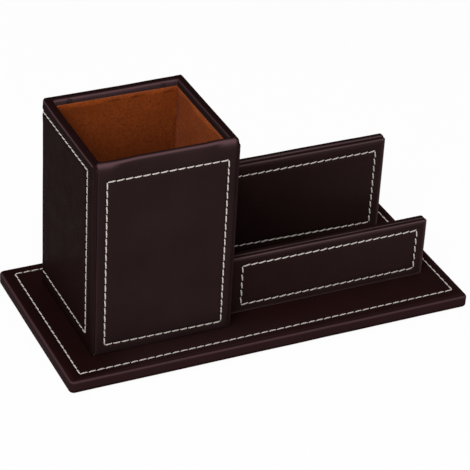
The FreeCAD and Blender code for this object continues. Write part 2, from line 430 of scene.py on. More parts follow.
class Nodes:
    """Adds nodes and links to one node tree."""

    def __init__(self, tree: bpy.types.NodeTree) -> None:
        """Takes the tree, and empties it."""
        self.tree = tree
        tree.nodes.clear()

    def node(self, kind: str, **settings: Any) -> bpy.types.Node:
        """Adds a node.

        Args:
            kind: The node's type name.
            settings: Properties of the node to set.

        Returns:
            The node.
        """
        made = self.tree.nodes.new(kind)
        for name, value in settings.items():
            setattr(made, name, value)
        return made

    def join(self, source: bpy.types.NodeSocket, target: bpy.types.NodeSocket) -> None:
        """Links an output to an input."""
        self.tree.links.new(source, target)

    def feed(self, target: bpy.types.NodeSocket, value: Any) -> None:
        """Links an input to an output, or gives it a value of its own.

        Args:
            target: The input.
            value: The output, or the value.
        """
        if isinstance(value, bpy.types.NodeSocket):
            self.join(value, target)
        else:
            target.default_value = value

    def sum_of(self, kind: str, first: Any, second: Any) -> bpy.types.NodeSocket:
        """One step of arithmetic.

        Args:
            kind: The operation.
            first: A socket or a number.
            second: Another one.

        Returns:
            The result.
        """
        step = self.node("ShaderNodeMath", operation=kind)
        self.feed(step.inputs[0], first)
        self.feed(step.inputs[1], second)
        return step.outputs[0]


class Shade(Nodes):
    """Builds one node material."""

    def __init__(self, name: str) -> None:
        """Starts the material with a Principled shader and its output.

        Args:
            name: The material's name.
        """
        self.material = bpy.data.materials.new(name)
        self.material.use_nodes = True
        super().__init__(self.material.node_tree)
        self.shader = self.node("ShaderNodeBsdfPrincipled")
        output = self.node("ShaderNodeOutputMaterial")
        self.join(self.shader.outputs["BSDF"], output.inputs["Surface"])
        self.place = self.node("ShaderNodeTexCoord").outputs["Object"]

    def stretched(self, scale: Sequence[float]) -> bpy.types.NodeSocket:
        """The object's coordinates, scaled.

        Args:
            scale: The scale along each axis.

        Returns:
            The scaled coordinates.
        """
        mapping = self.node("ShaderNodeMapping")
        mapping.inputs["Scale"].default_value = scale
        self.join(self.place, mapping.inputs["Vector"])
        return mapping.outputs["Vector"]

    def speckle(
        self, size: float, detail: float = 2.0, place: bpy.types.NodeSocket | None = None
    ) -> bpy.types.NodeSocket:
        """Noise with marks of about the given size.

        Args:
            size: Size of a mark, in millimetres.
            detail: Finer layers on top of it.
            place: Coordinates, or the object's own.

        Returns:
            The noise, about 0.5 on average.
        """
        marks = self.node("ShaderNodeTexNoise")
        marks.inputs["Scale"].default_value = 1.0 / (size * MM)
        marks.inputs["Detail"].default_value = detail
        self.join(place or self.place, marks.inputs["Vector"])
        return marks.outputs["Fac"]

    def cells(self, size: float) -> bpy.types.NodeSocket:
        """Rounded cells, such as the pores of a hide.

        Args:
            size: Size of a cell, in millimetres.

        Returns:
            The distance from the middle of the nearest cell.
        """
        cells = self.node("ShaderNodeTexVoronoi", feature="SMOOTH_F1")
        cells.inputs["Scale"].default_value = 1.0 / (size * MM)
        cells.inputs["Smoothness"].default_value = 0.6
        self.join(self.place, cells.inputs["Vector"])
        return cells.outputs["Distance"]

    def ranged(self, source: bpy.types.NodeSocket, taken: Span, given: Span) -> bpy.types.NodeSocket:
        """A value carried from one range to another, and held at its ends.

        Args:
            source: The value.
            taken: The range that it comes from.
            given: The range that it is carried to.

        Returns:
            The new value.
        """
        mapped = self.node("ShaderNodeMapRange")
        for name, value in zip(("From Min", "From Max", "To Min", "To Max"), taken + given):
            mapped.inputs[name].default_value = value
        self.join(source, mapped.inputs["Value"])
        return mapped.outputs["Result"]

    def blend(self, share: bpy.types.NodeSocket, first: Any, second: Any) -> bpy.types.NodeSocket:
        """A mix of two colours, each given as numbers or as a socket.

        Args:
            share: How much of the second colour is in it.
            first: The first colour.
            second: The second colour.

        Returns:
            The mixed colour.
        """
        mix = self.node("ShaderNodeMix", data_type="RGBA")
        # The node has a set of sockets for each kind of data. 6, 7 and 2 are those for colours.
        self.join(share, mix.inputs["Factor"])
        for socket, value in ((mix.inputs[6], first), (mix.inputs[7], second)):
            self.feed(socket, value if isinstance(value, bpy.types.NodeSocket) else (*value, 1.0))
        return mix.outputs[2]

    def mark(self, name: str) -> bpy.types.NodeSocket:
        """A value that the mesh carries at each point."""
        return self.node("ShaderNodeAttribute", attribute_name=name).outputs["Fac"]

    def relief(self, layers: Sequence[tuple[bpy.types.NodeSocket, float]]) -> None:
        """Raises the surface by several layers.

        Args:
            layers: Each layer's height, and how far it rises in millimetres.
        """
        before = None
        for height, rise in layers:
            bump = self.node("ShaderNodeBump")
            bump.inputs["Strength"].default_value = 1.0
            bump.inputs["Distance"].default_value = rise * MM
            self.join(height, bump.inputs["Height"])
            if before is not None:
                self.join(before, bump.inputs["Normal"])
            before = bump.outputs["Normal"]
        self.join(before, self.shader.inputs["Normal"])

    def colour(self, source: bpy.types.NodeSocket) -> None:
        """Takes the shader's colour from a socket."""
        self.join(source, self.shader.inputs["Base Color"])

    def roughness(self, source: bpy.types.NodeSocket) -> None:
        """Takes the shader's roughness from a socket."""
        self.join(source, self.shader.inputs["Roughness"])

    def plain(self, **values: float) -> None:
        """Sets values that are the same all over, by the shader's own socket names."""
        for name, value in values.items():
            self.shader.inputs[name.replace("_", " ")].default_value = value


@dataclass(frozen=True)
class Leather:
    """Dyed leather with a fine pressed grain, paler at rubbed edges and painted highlights, darker in painted
    shade.
    """

    name: str
    dye: Colour
    painted_shade_colour: Colour
    rubbed_and_highlight: Colour
    roughness: float = 0.4
    gloss: float = 0.0018
    grain: float = 0.85

    def material(self) -> bpy.types.Material:
        """Makes the leather's material.

        Returns:
            The node material.
        """
        shade = Shade(self.name)
        cloud = shade.speckle(28.0, 4.0)
        deep = tuple(0.9 * value for value in self.dye)
        pale = tuple(1.1 * value for value in self.dye)
        dyed = shade.blend(shade.ranged(cloud, (0.36, 0.64), (0.0, 1.0)), deep, pale)
        pores = shade.ranged(shade.cells(self.grain), (0.25, 0.75), (1.0, 0.0))
        # The mark paints shade below 0, and rubbed wear with painted highlights above 0.
        dark = shade.ranged(shade.mark("wear_and_painted_light"), (-1.0, 0.0), (0.0, 1.0))
        shaded = shade.blend(dark, self.painted_shade_colour, dyed)
        rubbed_and_highlight = shade.ranged(shade.mark("wear_and_painted_light"), (0.0, 1.0), (0.0, 1.0))
        shade.colour(shade.blend(rubbed_and_highlight, shaded, self.rubbed_and_highlight))
        low = self.roughness - 0.05
        shade.roughness(shade.ranged(shade.speckle(7.0, 4.0), (0.3, 0.7), (low, low + 0.12)))
        shade.relief([(pores, 0.022), (shade.speckle(2.4, 3.0), 0.03), (shade.speckle(0.3, 2.0), 0.008)])
        shade.plain(Specular_IOR_Level=self.gloss)
        return shade.material


@dataclass(frozen=True)
class Suede:
    """Napped suede cloth, brushed unevenly, darker in painted shade and paler at its cut edge."""

    name: str
    dye: Colour
    brushed: Colour
    cut: Colour

    def material(self) -> bpy.types.Material:
        """Makes the suede's material.

        Returns:
            The node material.
        """
        shade = Shade(self.name)
        patches = shade.ranged(shade.speckle(11.0, 3.0), (0.34, 0.66), (0.0, 1.0))
        fibres = shade.speckle(0.8, 3.0, shade.stretched((1.0, 1.0, 0.8)))
        nap = shade.blend(patches, self.dye, self.brushed)
        dark = tuple(0.72 * value for value in self.dye)
        combed = shade.blend(shade.ranged(fibres, (0.3, 0.6), (0.0, 1.0)), dark, nap)
        # The mark paints shade below 0, and the pale cut edge above 0.
        flat = shade.ranged(shade.mark("wear_and_painted_light"), (-1.0, 0.0), (1.0, 0.0))
        painted_shade = tuple(0.1 * value for value in self.dye)
        cut = shade.ranged(shade.mark("wear_and_painted_light"), (0.0, 1.0), (0.0, 1.0))
        shade.colour(shade.blend(cut, shade.blend(flat, combed, painted_shade), self.cut))
        shade.relief([(shade.speckle(4.0, 3.0), 0.12), (fibres, 0.06)])
        shade.plain(Roughness=0.95, Specular_IOR_Level=0.03, Sheen_Weight=0.02, Sheen_Roughness=0.5)
        return shade.material


@dataclass(frozen=True)
class Felt:
    """Dense pressed felt."""

    name: str
    dye: Colour

    def material(self) -> bpy.types.Material:
        """Makes the felt's material.

        Returns:
            The node material.
        """
        shade = Shade(self.name)
        fluff = shade.speckle(1.1, 5.0)
        pale = tuple(2.2 * value for value in self.dye)
        shade.colour(shade.blend(shade.ranged(fluff, (0.35, 0.7), (0.0, 1.0)), self.dye, pale))
        shade.relief([(fluff, 0.15), (shade.speckle(0.35, 2.0), 0.06)])
        shade.plain(Roughness=1.0, Specular_IOR_Level=0.05, Sheen_Weight=0.3, Sheen_Roughness=0.6)
        return shade.material


@dataclass(frozen=True)
class Thread:
    """Thick waxed thread of twisted strands."""

    name: str
    dye: Colour
    shadow: Colour

    def material(self) -> bpy.types.Material:
        """Makes the thread's material.

        Returns:
            The node material.
        """
        shade = Shade(self.name)
        turn = shade.sum_of("MULTIPLY", shade.mark("around"), 2.0)
        twist = shade.sum_of("ADD", turn, shade.sum_of("MULTIPLY", shade.mark("along"), 3.6))
        strand = shade.ranged(shade.sum_of("SINE", twist, 0.0), (-0.9, 0.5), (0.0, 1.0))
        fibres = shade.speckle(0.25, 3.0)
        painted_shade = shade.blend(strand, self.shadow, self.dye)
        worn_and_painted_light = tuple(0.86 * value for value in self.dye)
        shade.colour(shade.blend(shade.ranged(fibres, (0.55, 0.75), (0.0, 0.7)), painted_shade, worn_and_painted_light))
        shade.relief([(strand, 0.08), (fibres, 0.03)])
        shade.plain(Roughness=0.62, Specular_IOR_Level=0.25, Sheen_Weight=0.1)
        return shade.material


@dataclass(frozen=True)
class Board:
    """Pressed fibreboard or card, with fibres that lie every way."""

    name: str
    pulp: Colour
    fleck: Colour

    def material(self) -> bpy.types.Material:
        """Makes the board's material.

        Returns:
            The node material.
        """
        shade = Shade(self.name)
        fibres = shade.speckle(0.9, 6.0, shade.stretched((1.0, 0.5, 1.6)))
        shade.colour(shade.blend(shade.ranged(fibres, (0.42, 0.66), (0.0, 1.0)), self.pulp, self.fleck))
        shade.roughness(shade.ranged(shade.speckle(5.0, 3.0), (0.3, 0.7), (0.82, 0.95)))
        shade.relief([(fibres, 0.05)])
        shade.plain(Specular_IOR_Level=0.2)
        return shade.material


@dataclass(frozen=True)
class Steel:
    """Zinc-plated steel, dulled in patches."""

    name: str
    plate: Colour

    def material(self) -> bpy.types.Material:
        """Makes the steel's material.

        Returns:
            The node material.
        """
        shade = Shade(self.name)
        dull = tuple(0.72 * value for value in self.plate)
        bloom = shade.speckle(1.5, 4.0)
        shade.colour(shade.blend(shade.ranged(bloom, (0.4, 0.7), (0.0, 1.0)), self.plate, dull))
        shade.roughness(shade.ranged(bloom, (0.3, 0.7), (0.28, 0.45)))
        shade.relief([(shade.speckle(0.4, 2.0, shade.stretched((1.0, 1.0, 6.0))), 0.01)])
        shade.plain(Metallic=1.0)
        return shade.material


class Finishes:
    """The stand's finishes, by the record's slot names."""

    def __init__(self) -> None:
        """Makes every material once."""
        finishes = {
            # Each leather: its dye, the colour of painted shade, and the colour of rubbed edges and painted
            # highlights.
            "base_leather": Leather(
                "base_hide", (0.0138, 0.0044, 0.0042), (0.0060, 0.0022, 0.0020), (0.072, 0.038, 0.042)
            ),
            "cup_leather": Leather(
                "cup_hide", (0.0220, 0.0115, 0.0120), (0.0120, 0.0040, 0.0040), (0.106, 0.056, 0.063)
            ),
            "panel_leather": Leather(
                "panel_hide", (0.0186, 0.0089, 0.0085), (0.0085, 0.0034, 0.0034), (0.096, 0.057, 0.060)
            ),
            "thread": Thread("waxed_thread", (0.80, 0.745, 0.69), (0.42, 0.37, 0.33)),
            "suede": Suede("suede_nap", (0.290, 0.058, 0.0105), (0.350, 0.074, 0.0150), (0.29, 0.100, 0.040)),
            "felt": Felt("underlay_felt", (0.016, 0.012, 0.011)),
            "fibreboard": Board("raw_fibreboard", (0.42, 0.30, 0.19), (0.56, 0.44, 0.30)),
            "card": Board("lining_card", (0.38, 0.35, 0.31), (0.50, 0.47, 0.43)),
            "steel": Steel("zinc_plate", (0.60, 0.59, 0.57)),
        }
        self.materials = {slot: finish.material() for slot, finish in finishes.items()}

    def dress_node(self, node: str, cad: bpy.types.Object, slot: str) -> None:
        """Gives a CAD node that stays its finish.

        Args:
            node: The node's name.
            cad: Its object.
            slot: The record's material slot.
        """
        cad.data.materials.clear()
        cad.data.materials.append(self.materials[slot])
        log.info("dressed CAD node %s in %s", node, slot)

    def mount(self, piece: bpy.types.Object, slot: str, *nodes: str) -> None:
        """Puts a finished piece on the stand in place of its CAD nodes.

        Args:
            piece: The piece, with its place in its mesh.
            slot: The record's material slot.
            nodes: The CAD nodes that it stands for.
        """
        if not piece.data.materials:
            piece.data.materials.append(self.materials[slot])
        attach(piece, "root")
        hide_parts(*nodes)
        log.info("%s: %d faces, stands for %s", piece.name, len(piece.data.polygons), ", ".join(nodes))


@dataclass(frozen=True)
class Groove:
    """How a seam draws the leather in under its thread."""

    depth: float = 0.3
    width: float = 0.75
    swell: float = 0.14
    reach: float = 2.6

    def relief(self, distance: np.ndarray) -> np.ndarray:
        """How far the leather lies above its face.

        Args:
            distance: How far each point is from the seam.

        Returns:
            The height of each point.
        """
        valley = -self.depth * np.exp(-((distance / self.width) ** 2))
        share = (distance / self.reach) ** 2
        return valley + self.swell * share * np.exp(1.0 - share)


# How deep a seam's line lies in the leather, in millimetres.
THREAD_SINK = 0.04
# Where points lie beside a seam, in millimetres from it, and the same on both of its sides.
NEAR_SEAM = (0.25, 0.55, 0.9, 1.4, 2.1)
ACROSS_SEAM = sorted([0.0, *NEAR_SEAM, *[-reach for reach in NEAR_SEAM]])


@dataclass
class CoveredBoard:
    """A board wrapped in leather, with soft edges and a hem turned behind it."""

    side: Side
    across: Span
    upward: Span
    depth: Span
    board: tuple[Span, Span, Span]
    hem: float
    grain: Grain
    corner: float = 1.2
    edge: float = 0.9
    back_edge: float = 0.5
    seam: np.ndarray | None = None
    seam_corner: float = 0.8
    groove: Groove = Groove()
    # Painted light and shade, partly rubbed wear, along the edges and sides and in patches on the face.
    edge_wear_and_painted_light: float = 0.9
    edge_painted_light_angle: float = 1.15
    worn_and_painted_light: tuple[PaintedLightPatch, ...] = ()
    side_painted_light: float = -0.5
    back_edge_painted_light: float = -0.3
    uneven: float = 0.07
    seed: float = 1.0

    def world(self, flat: np.ndarray, height: float | np.ndarray) -> np.ndarray:
        """Points in space from points of the face and their height over it."""
        return self.side.world(flat, height)

    def line(self) -> np.ndarray:
        """The seam's line on the face, flat."""
        return seam_line(self.seam, self.seam_corner)

    def seam_sides(self) -> list[np.ndarray]:
        """The seam's four straight sides, in space."""
        return four_sides(self.world(self.seam, self.depth[1] - THREAD_SINK))

    def _uneven(self, points: np.ndarray) -> np.ndarray:
        """Points as this leather lies, not quite even."""
        return unsettled(points, self.uneven, length=17.0, seed=self.seed, step=7.0)

    def _face(self, flat: np.ndarray) -> np.ndarray:
        """Points of the face.

        Args:
            flat: Where they lie on it.

        Returns:
            The points in space.
        """
        height = np.full(flat.shape[:-1], self.depth[1])
        if self.seam is not None:
            height = height + self.groove.relief(path_distance(flat, self.line()))
        return self._uneven(self.world(flat, height))

    def _painted_light(self, flat: np.ndarray) -> np.ndarray:
        """How much painted light and shade the face has, from its soft patches.

        Args:
            flat: Points on the face.

        Returns:
            The painted light at each point, from -1, shade, to 1.
        """
        wear_and_painted_light = np.zeros(flat.shape[:-1])
        for x, y, wide, high, most in self.worn_and_painted_light:
            wear_and_painted_light += most * np.exp(-(((flat[..., 0] - x) / wide) ** 2) - ((flat[..., 1] - y) / high) ** 2)
        return wear_and_painted_light

    def _inside(self, loft: Loft) -> np.ndarray:
        """Adds the rings that lie on the board.

        Args:
            loft: The loft to add them to.

        Returns:
            The grid over the first of them.
        """
        inner = box_corners(*self.board[:2])
        first = self.grain.ring(inner, 0.3)
        for height in self.board[2][::-1]:
            loft.add(self.world(first, height))
        hem = offset_corners(box_corners(self.across, self.upward), [-self.hem] * 4)
        loft.add(self.world(self.grain.ring(hem, 0.3), self.board[2][0]))
        return self.grain.middle(self.world(first, self.board[2][1]))

    def _edges(self, loft: Loft) -> None:
        """Adds the rings of the hem and round the edges.

        Args:
            loft: The loft to add them to.
        """
        outline = box_corners(self.across, self.upward)
        low, high = self.depth
        profile = [(self.hem, low, 0.0), (self.hem / 2, low, 0.0)]
        for step in range(5):
            angle = math.radians(22.5 * step)
            reach = self.back_edge
            # Painted light over the back edge; a value below 0 paints shade.
            wear_and_painted_light = self.back_edge_painted_light * math.sin(2 * angle)
            profile.append((reach * (1 - math.sin(angle)), low + reach * (1 - math.cos(angle)), wear_and_painted_light))
        between = spread(low + self.back_edge, high - self.edge, 1.0)
        profile += [(0.0, height, self.side_painted_light) for height in between]
        for step in range(8):
            angle = math.radians(90.0 * step / 7)
            reach = self.edge
            # The front edge's painted light, partly rubbed wear, peaks at its angle, and the sides' painted
            # light fades into it.
            share = math.exp(-(((angle - self.edge_painted_light_angle) / 0.4) ** 2))
            fade = self.side_painted_light * max(0.0, 1.0 - angle)
            wear_and_painted_light = self.edge_wear_and_painted_light * share + fade * (1.0 - share)
            profile.append((reach * (1 - math.cos(angle)), high - reach * (1 - math.sin(angle)), wear_and_painted_light))
        for inset, height, wear_and_painted_light in profile:
            corners = offset_corners(outline, [-inset] * 4)
            radius = max(self.corner - inset, 0.2)
            points = self.world(self.grain.ring(corners, radius), height)
            loft.add(self._uneven(points) if height > low else points, wear_and_painted_light)

    def _face_rings(self, loft: Loft) -> np.ndarray:
        """Adds the rings of the face.

        Args:
            loft: The loft to add them to.

        Returns:
            The last of them, flat.
        """
        outline = box_corners(self.across, self.upward)
        start = offset_corners(outline, [-self.edge - 0.7] * 4)
        flat = self.grain.ring(start, 0.3)
        # A faint painted highlight just inside the edges, and the face's patches of painted light.
        loft.add(self._face(flat), 0.12 + self._painted_light(flat))
        if self.seam is None:
            return flat
        far = offset_corners(self.seam, [NEAR_SEAM[-1]] * 4)
        halfway = 0.5 * (start + far)
        flat = self.grain.ring(halfway, 1.5)
        loft.add(self._face(flat), self._painted_light(flat))
        for reach in [*ACROSS_SEAM[::-1], -3.2, -5.0]:
            corners = offset_corners(self.seam, [reach] * 4)
            flat = self.grain.ring(corners, max(self.seam_corner + reach, 0.2))
            loft.add(self._face(flat), self._painted_light(flat))
        return flat

    def build(self, name: str) -> bpy.types.Object:
        """Makes the leather round the board.

        Args:
            name: The piece's name.

        Returns:
            The finished object.
        """
        loft = Loft(self.grain)
        inside = self._inside(loft)
        self._edges(loft)
        middle = self.grain.middle(self._face_rings(loft))
        return loft.build(name, inside, self._face(middle), self._painted_light(middle))


@dataclass
class Stitcher:
    """Sews a seam: one geometry node tree lays twisted stitches along a line on the leather."""

    material: bpy.types.Material
    pitch: float = 4.0
    length: float = 3.5
    width: float = 0.62
    height: float = 0.48

    def __post_init__(self) -> None:
        """Makes the stitch that every seam repeats, and the tree."""
        self.stitch = self._one_stitch()
        self.tree = self._tree()

    def _one_stitch(self) -> bpy.types.Object:
        """A stitch along X, whose ends dip into the leather.

        Returns:
            Its object, which isn't in the scene. Its points carry their place along and round the stitch.
        """
        stations = np.array([-0.5, -0.43, -0.27, 0.0, 0.27, 0.43, 0.5])
        fullness = (0.5, 0.82, 0.98, 1.0, 0.98, 0.82, 0.5)
        points, along, around = [], [], []
        for station, full in zip(stations, fullness):
            rise = 0.18 * (1.0 - (2.0 * station) ** 4) - 0.1
            for step in range(6):
                angle = math.radians(60.0 * step + 30.0)
                across = 0.5 * self.width * full * math.cos(angle)
                above = 0.5 * self.height * full * math.sin(angle)
                points.append((station * self.length, across, above + rise))
                along.append(station * self.length)
                around.append(angle)
        faces = []
        for ring in range(6):
            for step in range(6):
                after = (step + 1) % 6
                faces.append((6 * ring + step, 6 * ring + after, 6 * ring + after + 6, 6 * ring + step + 6))
        faces += [tuple(range(5, -1, -1)), tuple(range(36, 42))]
        marks = {"along": np.array(along), "around": np.array(around)}
        made = mesh_object("one_stitch", np.array(points), faces, marks)
        bpy.context.scene.collection.objects.unlink(made)
        return made

    def _tree(self) -> bpy.types.NodeTree:
        """Makes the tree that sews a seam.

        Each line is split into half pitches, and a stitch lies at every second point, turned to the line
        and to the leather, with a small lean of its own.

        Returns:
            The tree, with named inputs for the stitch, its pitch, its lean and the seed.
        """
        tree = bpy.data.node_groups.new("sew_seam", "GeometryNodeTree")
        face = tree.interface
        face.new_socket("Geometry", in_out="OUTPUT", socket_type="NodeSocketGeometry")
        face.new_socket("Line", in_out="INPUT", socket_type="NodeSocketGeometry")
        face.new_socket("Stitch", in_out="INPUT", socket_type="NodeSocketObject")
        face.new_socket("Thread", in_out="INPUT", socket_type="NodeSocketMaterial")
        for name in ("Pitch", "Lean", "Looseness"):
            face.new_socket(name, in_out="INPUT", socket_type="NodeSocketFloat")
        face.new_socket("Seed", in_out="INPUT", socket_type="NodeSocketInt")

        nodes = Nodes(tree)
        node, join, sum_of = nodes.node, nodes.join, nodes.sum_of
        given = node("NodeGroupInput").outputs
        line = node("GeometryNodeMeshToCurve")
        join(given["Line"], line.inputs["Mesh"])
        length = node("GeometryNodeSplineLength").outputs["Length"]
        stitches = sum_of("ROUND", sum_of("DIVIDE", length, given["Pitch"]), 0.0)
        count = sum_of("ADD", sum_of("MULTIPLY", stitches, 2.0), 1.0)
        spaced = node("GeometryNodeResampleCurve")
        join(line.outputs["Curve"], spaced.inputs["Curve"])
        join(count, spaced.inputs["Count"])

        outward = node("GeometryNodeInputNamedAttribute", data_type="FLOAT_VECTOR")
        outward.inputs["Name"].default_value = "outward"
        facing = node("FunctionNodeAxesToRotation", primary_axis="Z", secondary_axis="X")
        join(outward.outputs["Attribute"], facing.inputs["Primary Axis"])
        join(node("GeometryNodeInputTangent").outputs["Tangent"], facing.inputs["Secondary Axis"])
        jitter = node("FunctionNodeRandomValue", data_type="FLOAT")
        # Inputs 2 and 3 are the ends of the range for numbers, and output 1 is the number.
        jitter.inputs[2].default_value = -1.0
        jitter.inputs[3].default_value = 1.0
        join(given["Seed"], jitter.inputs["Seed"])
        lean = sum_of("ADD", given["Lean"], sum_of("MULTIPLY", jitter.outputs[1], given["Looseness"]))
        spin = node("FunctionNodeAxisAngleToRotation")
        spin.inputs["Axis"].default_value = (0.0, 0.0, 1.0)
        join(lean, spin.inputs["Angle"])
        turned = node("FunctionNodeRotateRotation", rotation_space="LOCAL")
        join(facing.outputs["Rotation"], turned.inputs["Rotation"])
        join(spin.outputs["Rotation"], turned.inputs["Rotate By"])

        which = node("GeometryNodeSplineParameter").outputs["Index"]
        odd = sum_of("MODULO", which, 2.0)
        shape = node("GeometryNodeObjectInfo", transform_space="ORIGINAL")
        join(given["Stitch"], shape.inputs["Object"])
        sewn = node("GeometryNodeInstanceOnPoints")
        join(spaced.outputs["Curve"], sewn.inputs["Points"])
        join(odd, sewn.inputs["Selection"])
        join(shape.outputs["Geometry"], sewn.inputs["Instance"])
        join(turned.outputs["Rotation"], sewn.inputs["Rotation"])
        real = node("GeometryNodeRealizeInstances")
        join(sewn.outputs["Instances"], real.inputs["Geometry"])
        finish = node("GeometryNodeSetMaterial")
        join(real.outputs["Geometry"], finish.inputs["Geometry"])
        join(given["Thread"], finish.inputs["Material"])
        join(finish.outputs["Geometry"], node("NodeGroupOutput").inputs[0])
        return tree

    def sew(
        self,
        name: str,
        lines: Sequence[np.ndarray],
        outward: Sequence[Sequence[float]],
        lean: float,
        seed: int,
    ) -> bpy.types.Object:
        """Sews stitches along straight lines, with a hole at each end.

        Args:
            name: The seam's name.
            lines: The two ends of each line in space, in millimetres.
            outward: The direction out of the leather at each line.
            lean: How far each stitch leans out of the line, in degrees.
            seed: Seed of the small differences between stitches.

        Returns:
            The stitches as one plain mesh object.
        """
        mesh = bpy.data.meshes.new(name + "_line")
        points, edges, normals = [], [], []
        for line, normal in zip(lines, outward):
            edges.append((len(points), len(points) + 1))
            points += [tuple(point * MM) for point in line]
            normals += [tuple(normal)] * 2
        mesh.from_pydata(points, edges, [])
        attribute = mesh.attributes.new("outward", "FLOAT_VECTOR", "POINT")
        attribute.data.foreach_set("vector", np.array(normals, np.float32).ravel())
        line_object = bpy.data.objects.new(name + "_line", mesh)
        bpy.context.scene.collection.objects.link(line_object)
        modifier = line_object.modifiers.new("sew", "NODES")
        modifier.node_group = self.tree
        values = {
            "Stitch": self.stitch,
            "Thread": self.material,
            "Pitch": self.pitch * MM,
            "Lean": math.radians(lean),
            "Looseness": math.radians(1.6),
            "Seed": seed,
        }
        for item in self.tree.interface.items_tree:
            if item.item_type == "SOCKET" and item.in_out == "INPUT" and item.name in values:
                modifier[item.identifier] = values[item.name]
        evaluated = line_object.evaluated_get(bpy.context.evaluated_depsgraph_get())
        sewn = bpy.data.meshes.new_from_object(evaluated)
        line_object.modifiers.remove(modifier)
        bpy.data.objects.remove(line_object)
        made = bpy.data.objects.new(name, sewn)
        bpy.context.scene.collection.objects.link(made)
        log.info("%s: %d stitches", name, len(sewn.polygons) // len(self.stitch.data.polygons))
        return made


@dataclass
class StandBase:
    """The flat base: leather round a board, with one seam, on a felt underlay.

    The seam's fields give how far it runs from each edge of the base.
    """

    finishes: Finishes
    stitcher: Stitcher
    hem: float = 14.0
    corner: float = 2.5
    seam_left: float = 6.4
    seam_right: float = 4.8
    seam_front_left: float = 5.5
    seam_front_right: float = 7.3
    seam_rear: float = 5.3
    lean: float = 3.0

    def cover(self) -> CoveredBoard:
        """The leather round the base board.

        Returns:
            The cover, ready to build.
        """
        low, high = node_box("base_leather")
        board_low, board_high = node_box("base_board")
        seam = seam_corners(
            (low[0] + self.seam_left, high[0] - self.seam_right),
            (low[1] + self.seam_front_left, low[1] + self.seam_front_right),
            high[1] - self.seam_rear,
        )
        return CoveredBoard(
            Side.UP,
            (low[0], high[0]),
            (low[1], high[1]),
            (low[2], high[2]),
            tuple(zip(board_low, board_high)),
            self.hem,
            Grain(84, 40),
            corner=self.corner,
            edge=1.25,
            back_edge=1.1,
            # A painted highlight along the top edge, partly rubbed wear, and painted light on the sides and
            # back edge.
            edge_wear_and_painted_light=0.9,
            edge_painted_light_angle=0.85,
            # Painted light in front of the cup and at the right front, and painted shade at the left.
            worn_and_painted_light=(
                (-40.0, -40.0, 62.0, 9.0, 0.14),
                (65.0, -34.0, 45.0, 14.0, 0.05),
                (-96.0, 8.0, 18.0, 48.0, -0.3),
            ),
            side_painted_light=0.17,
            back_edge_painted_light=0.1,
            seam=seam,
            groove=Groove(depth=0.26, width=0.8, swell=0.12, reach=2.4),
            seed=3.0,
        )

    def underlay(self) -> bpy.types.Object:
        """The felt sheet that the stand rests on, filling the space inside the hem.

        Returns:
            The finished object.
        """
        low, high = node_box("base_underlay")
        cover_low, _ = node_box("base_leather")
        # How far the second layer, inside the hem, stays back from the first layer's edge.
        filling = self.hem + 0.2 - (low[0] - cover_low[0])
        sheet = cover_low[2]
        profile = [
            (1.5, low[2]),
            (0.2, low[2]),
            (0.05, low[2] + 0.08),
            (0.0, low[2] + 0.25),
            (0.04, sheet - 0.12),
            (0.2, sheet),
            (filling - 0.2, sheet),
            (filling, sheet + 0.1),
            (filling, high[2] - 0.1),
            (filling + 0.2, high[2]),
        ]
        loft = Loft(Grain(60, 28))
        outline = box_corners((low[0], high[0]), (low[1], high[1]))
        for inset, height in profile:
            corners = offset_corners(outline, [-inset] * 4)
            flat = loft.grain.ring(corners, max(2.0 - inset, 0.3))
            ring = np.column_stack([flat, np.full(len(flat), height)])
            frayed = 0.06 * waves(ring, 1.7, 5.0) if 0.0 <= inset < 0.1 else 0.0
            ring[:, 0] += frayed * np.sign(ring[:, 0])
            loft.add(ring)
        caps = [loft.grain.middle(ring) for ring in (loft.rings[0], loft.rings[-1])]
        return loft.build("underlay_felt", *caps)

    def build(self) -> None:
        """Builds the base's leather, seam and underlay."""
        cover = self.cover()
        self.finishes.mount(cover.build("base_cover"), "base_leather", "base_leather")
        lines = cover.seam_sides()
        seam = self.stitcher.sew("base_seam", lines, [Side.UP.outward] * 4, self.lean, 11)
        self.finishes.mount(seam, "thread", "base_stitching")
        felt = self.underlay()
        self.finishes.mount(felt, "felt", "base_underlay")
        Side.UP.spans("base_underlay")


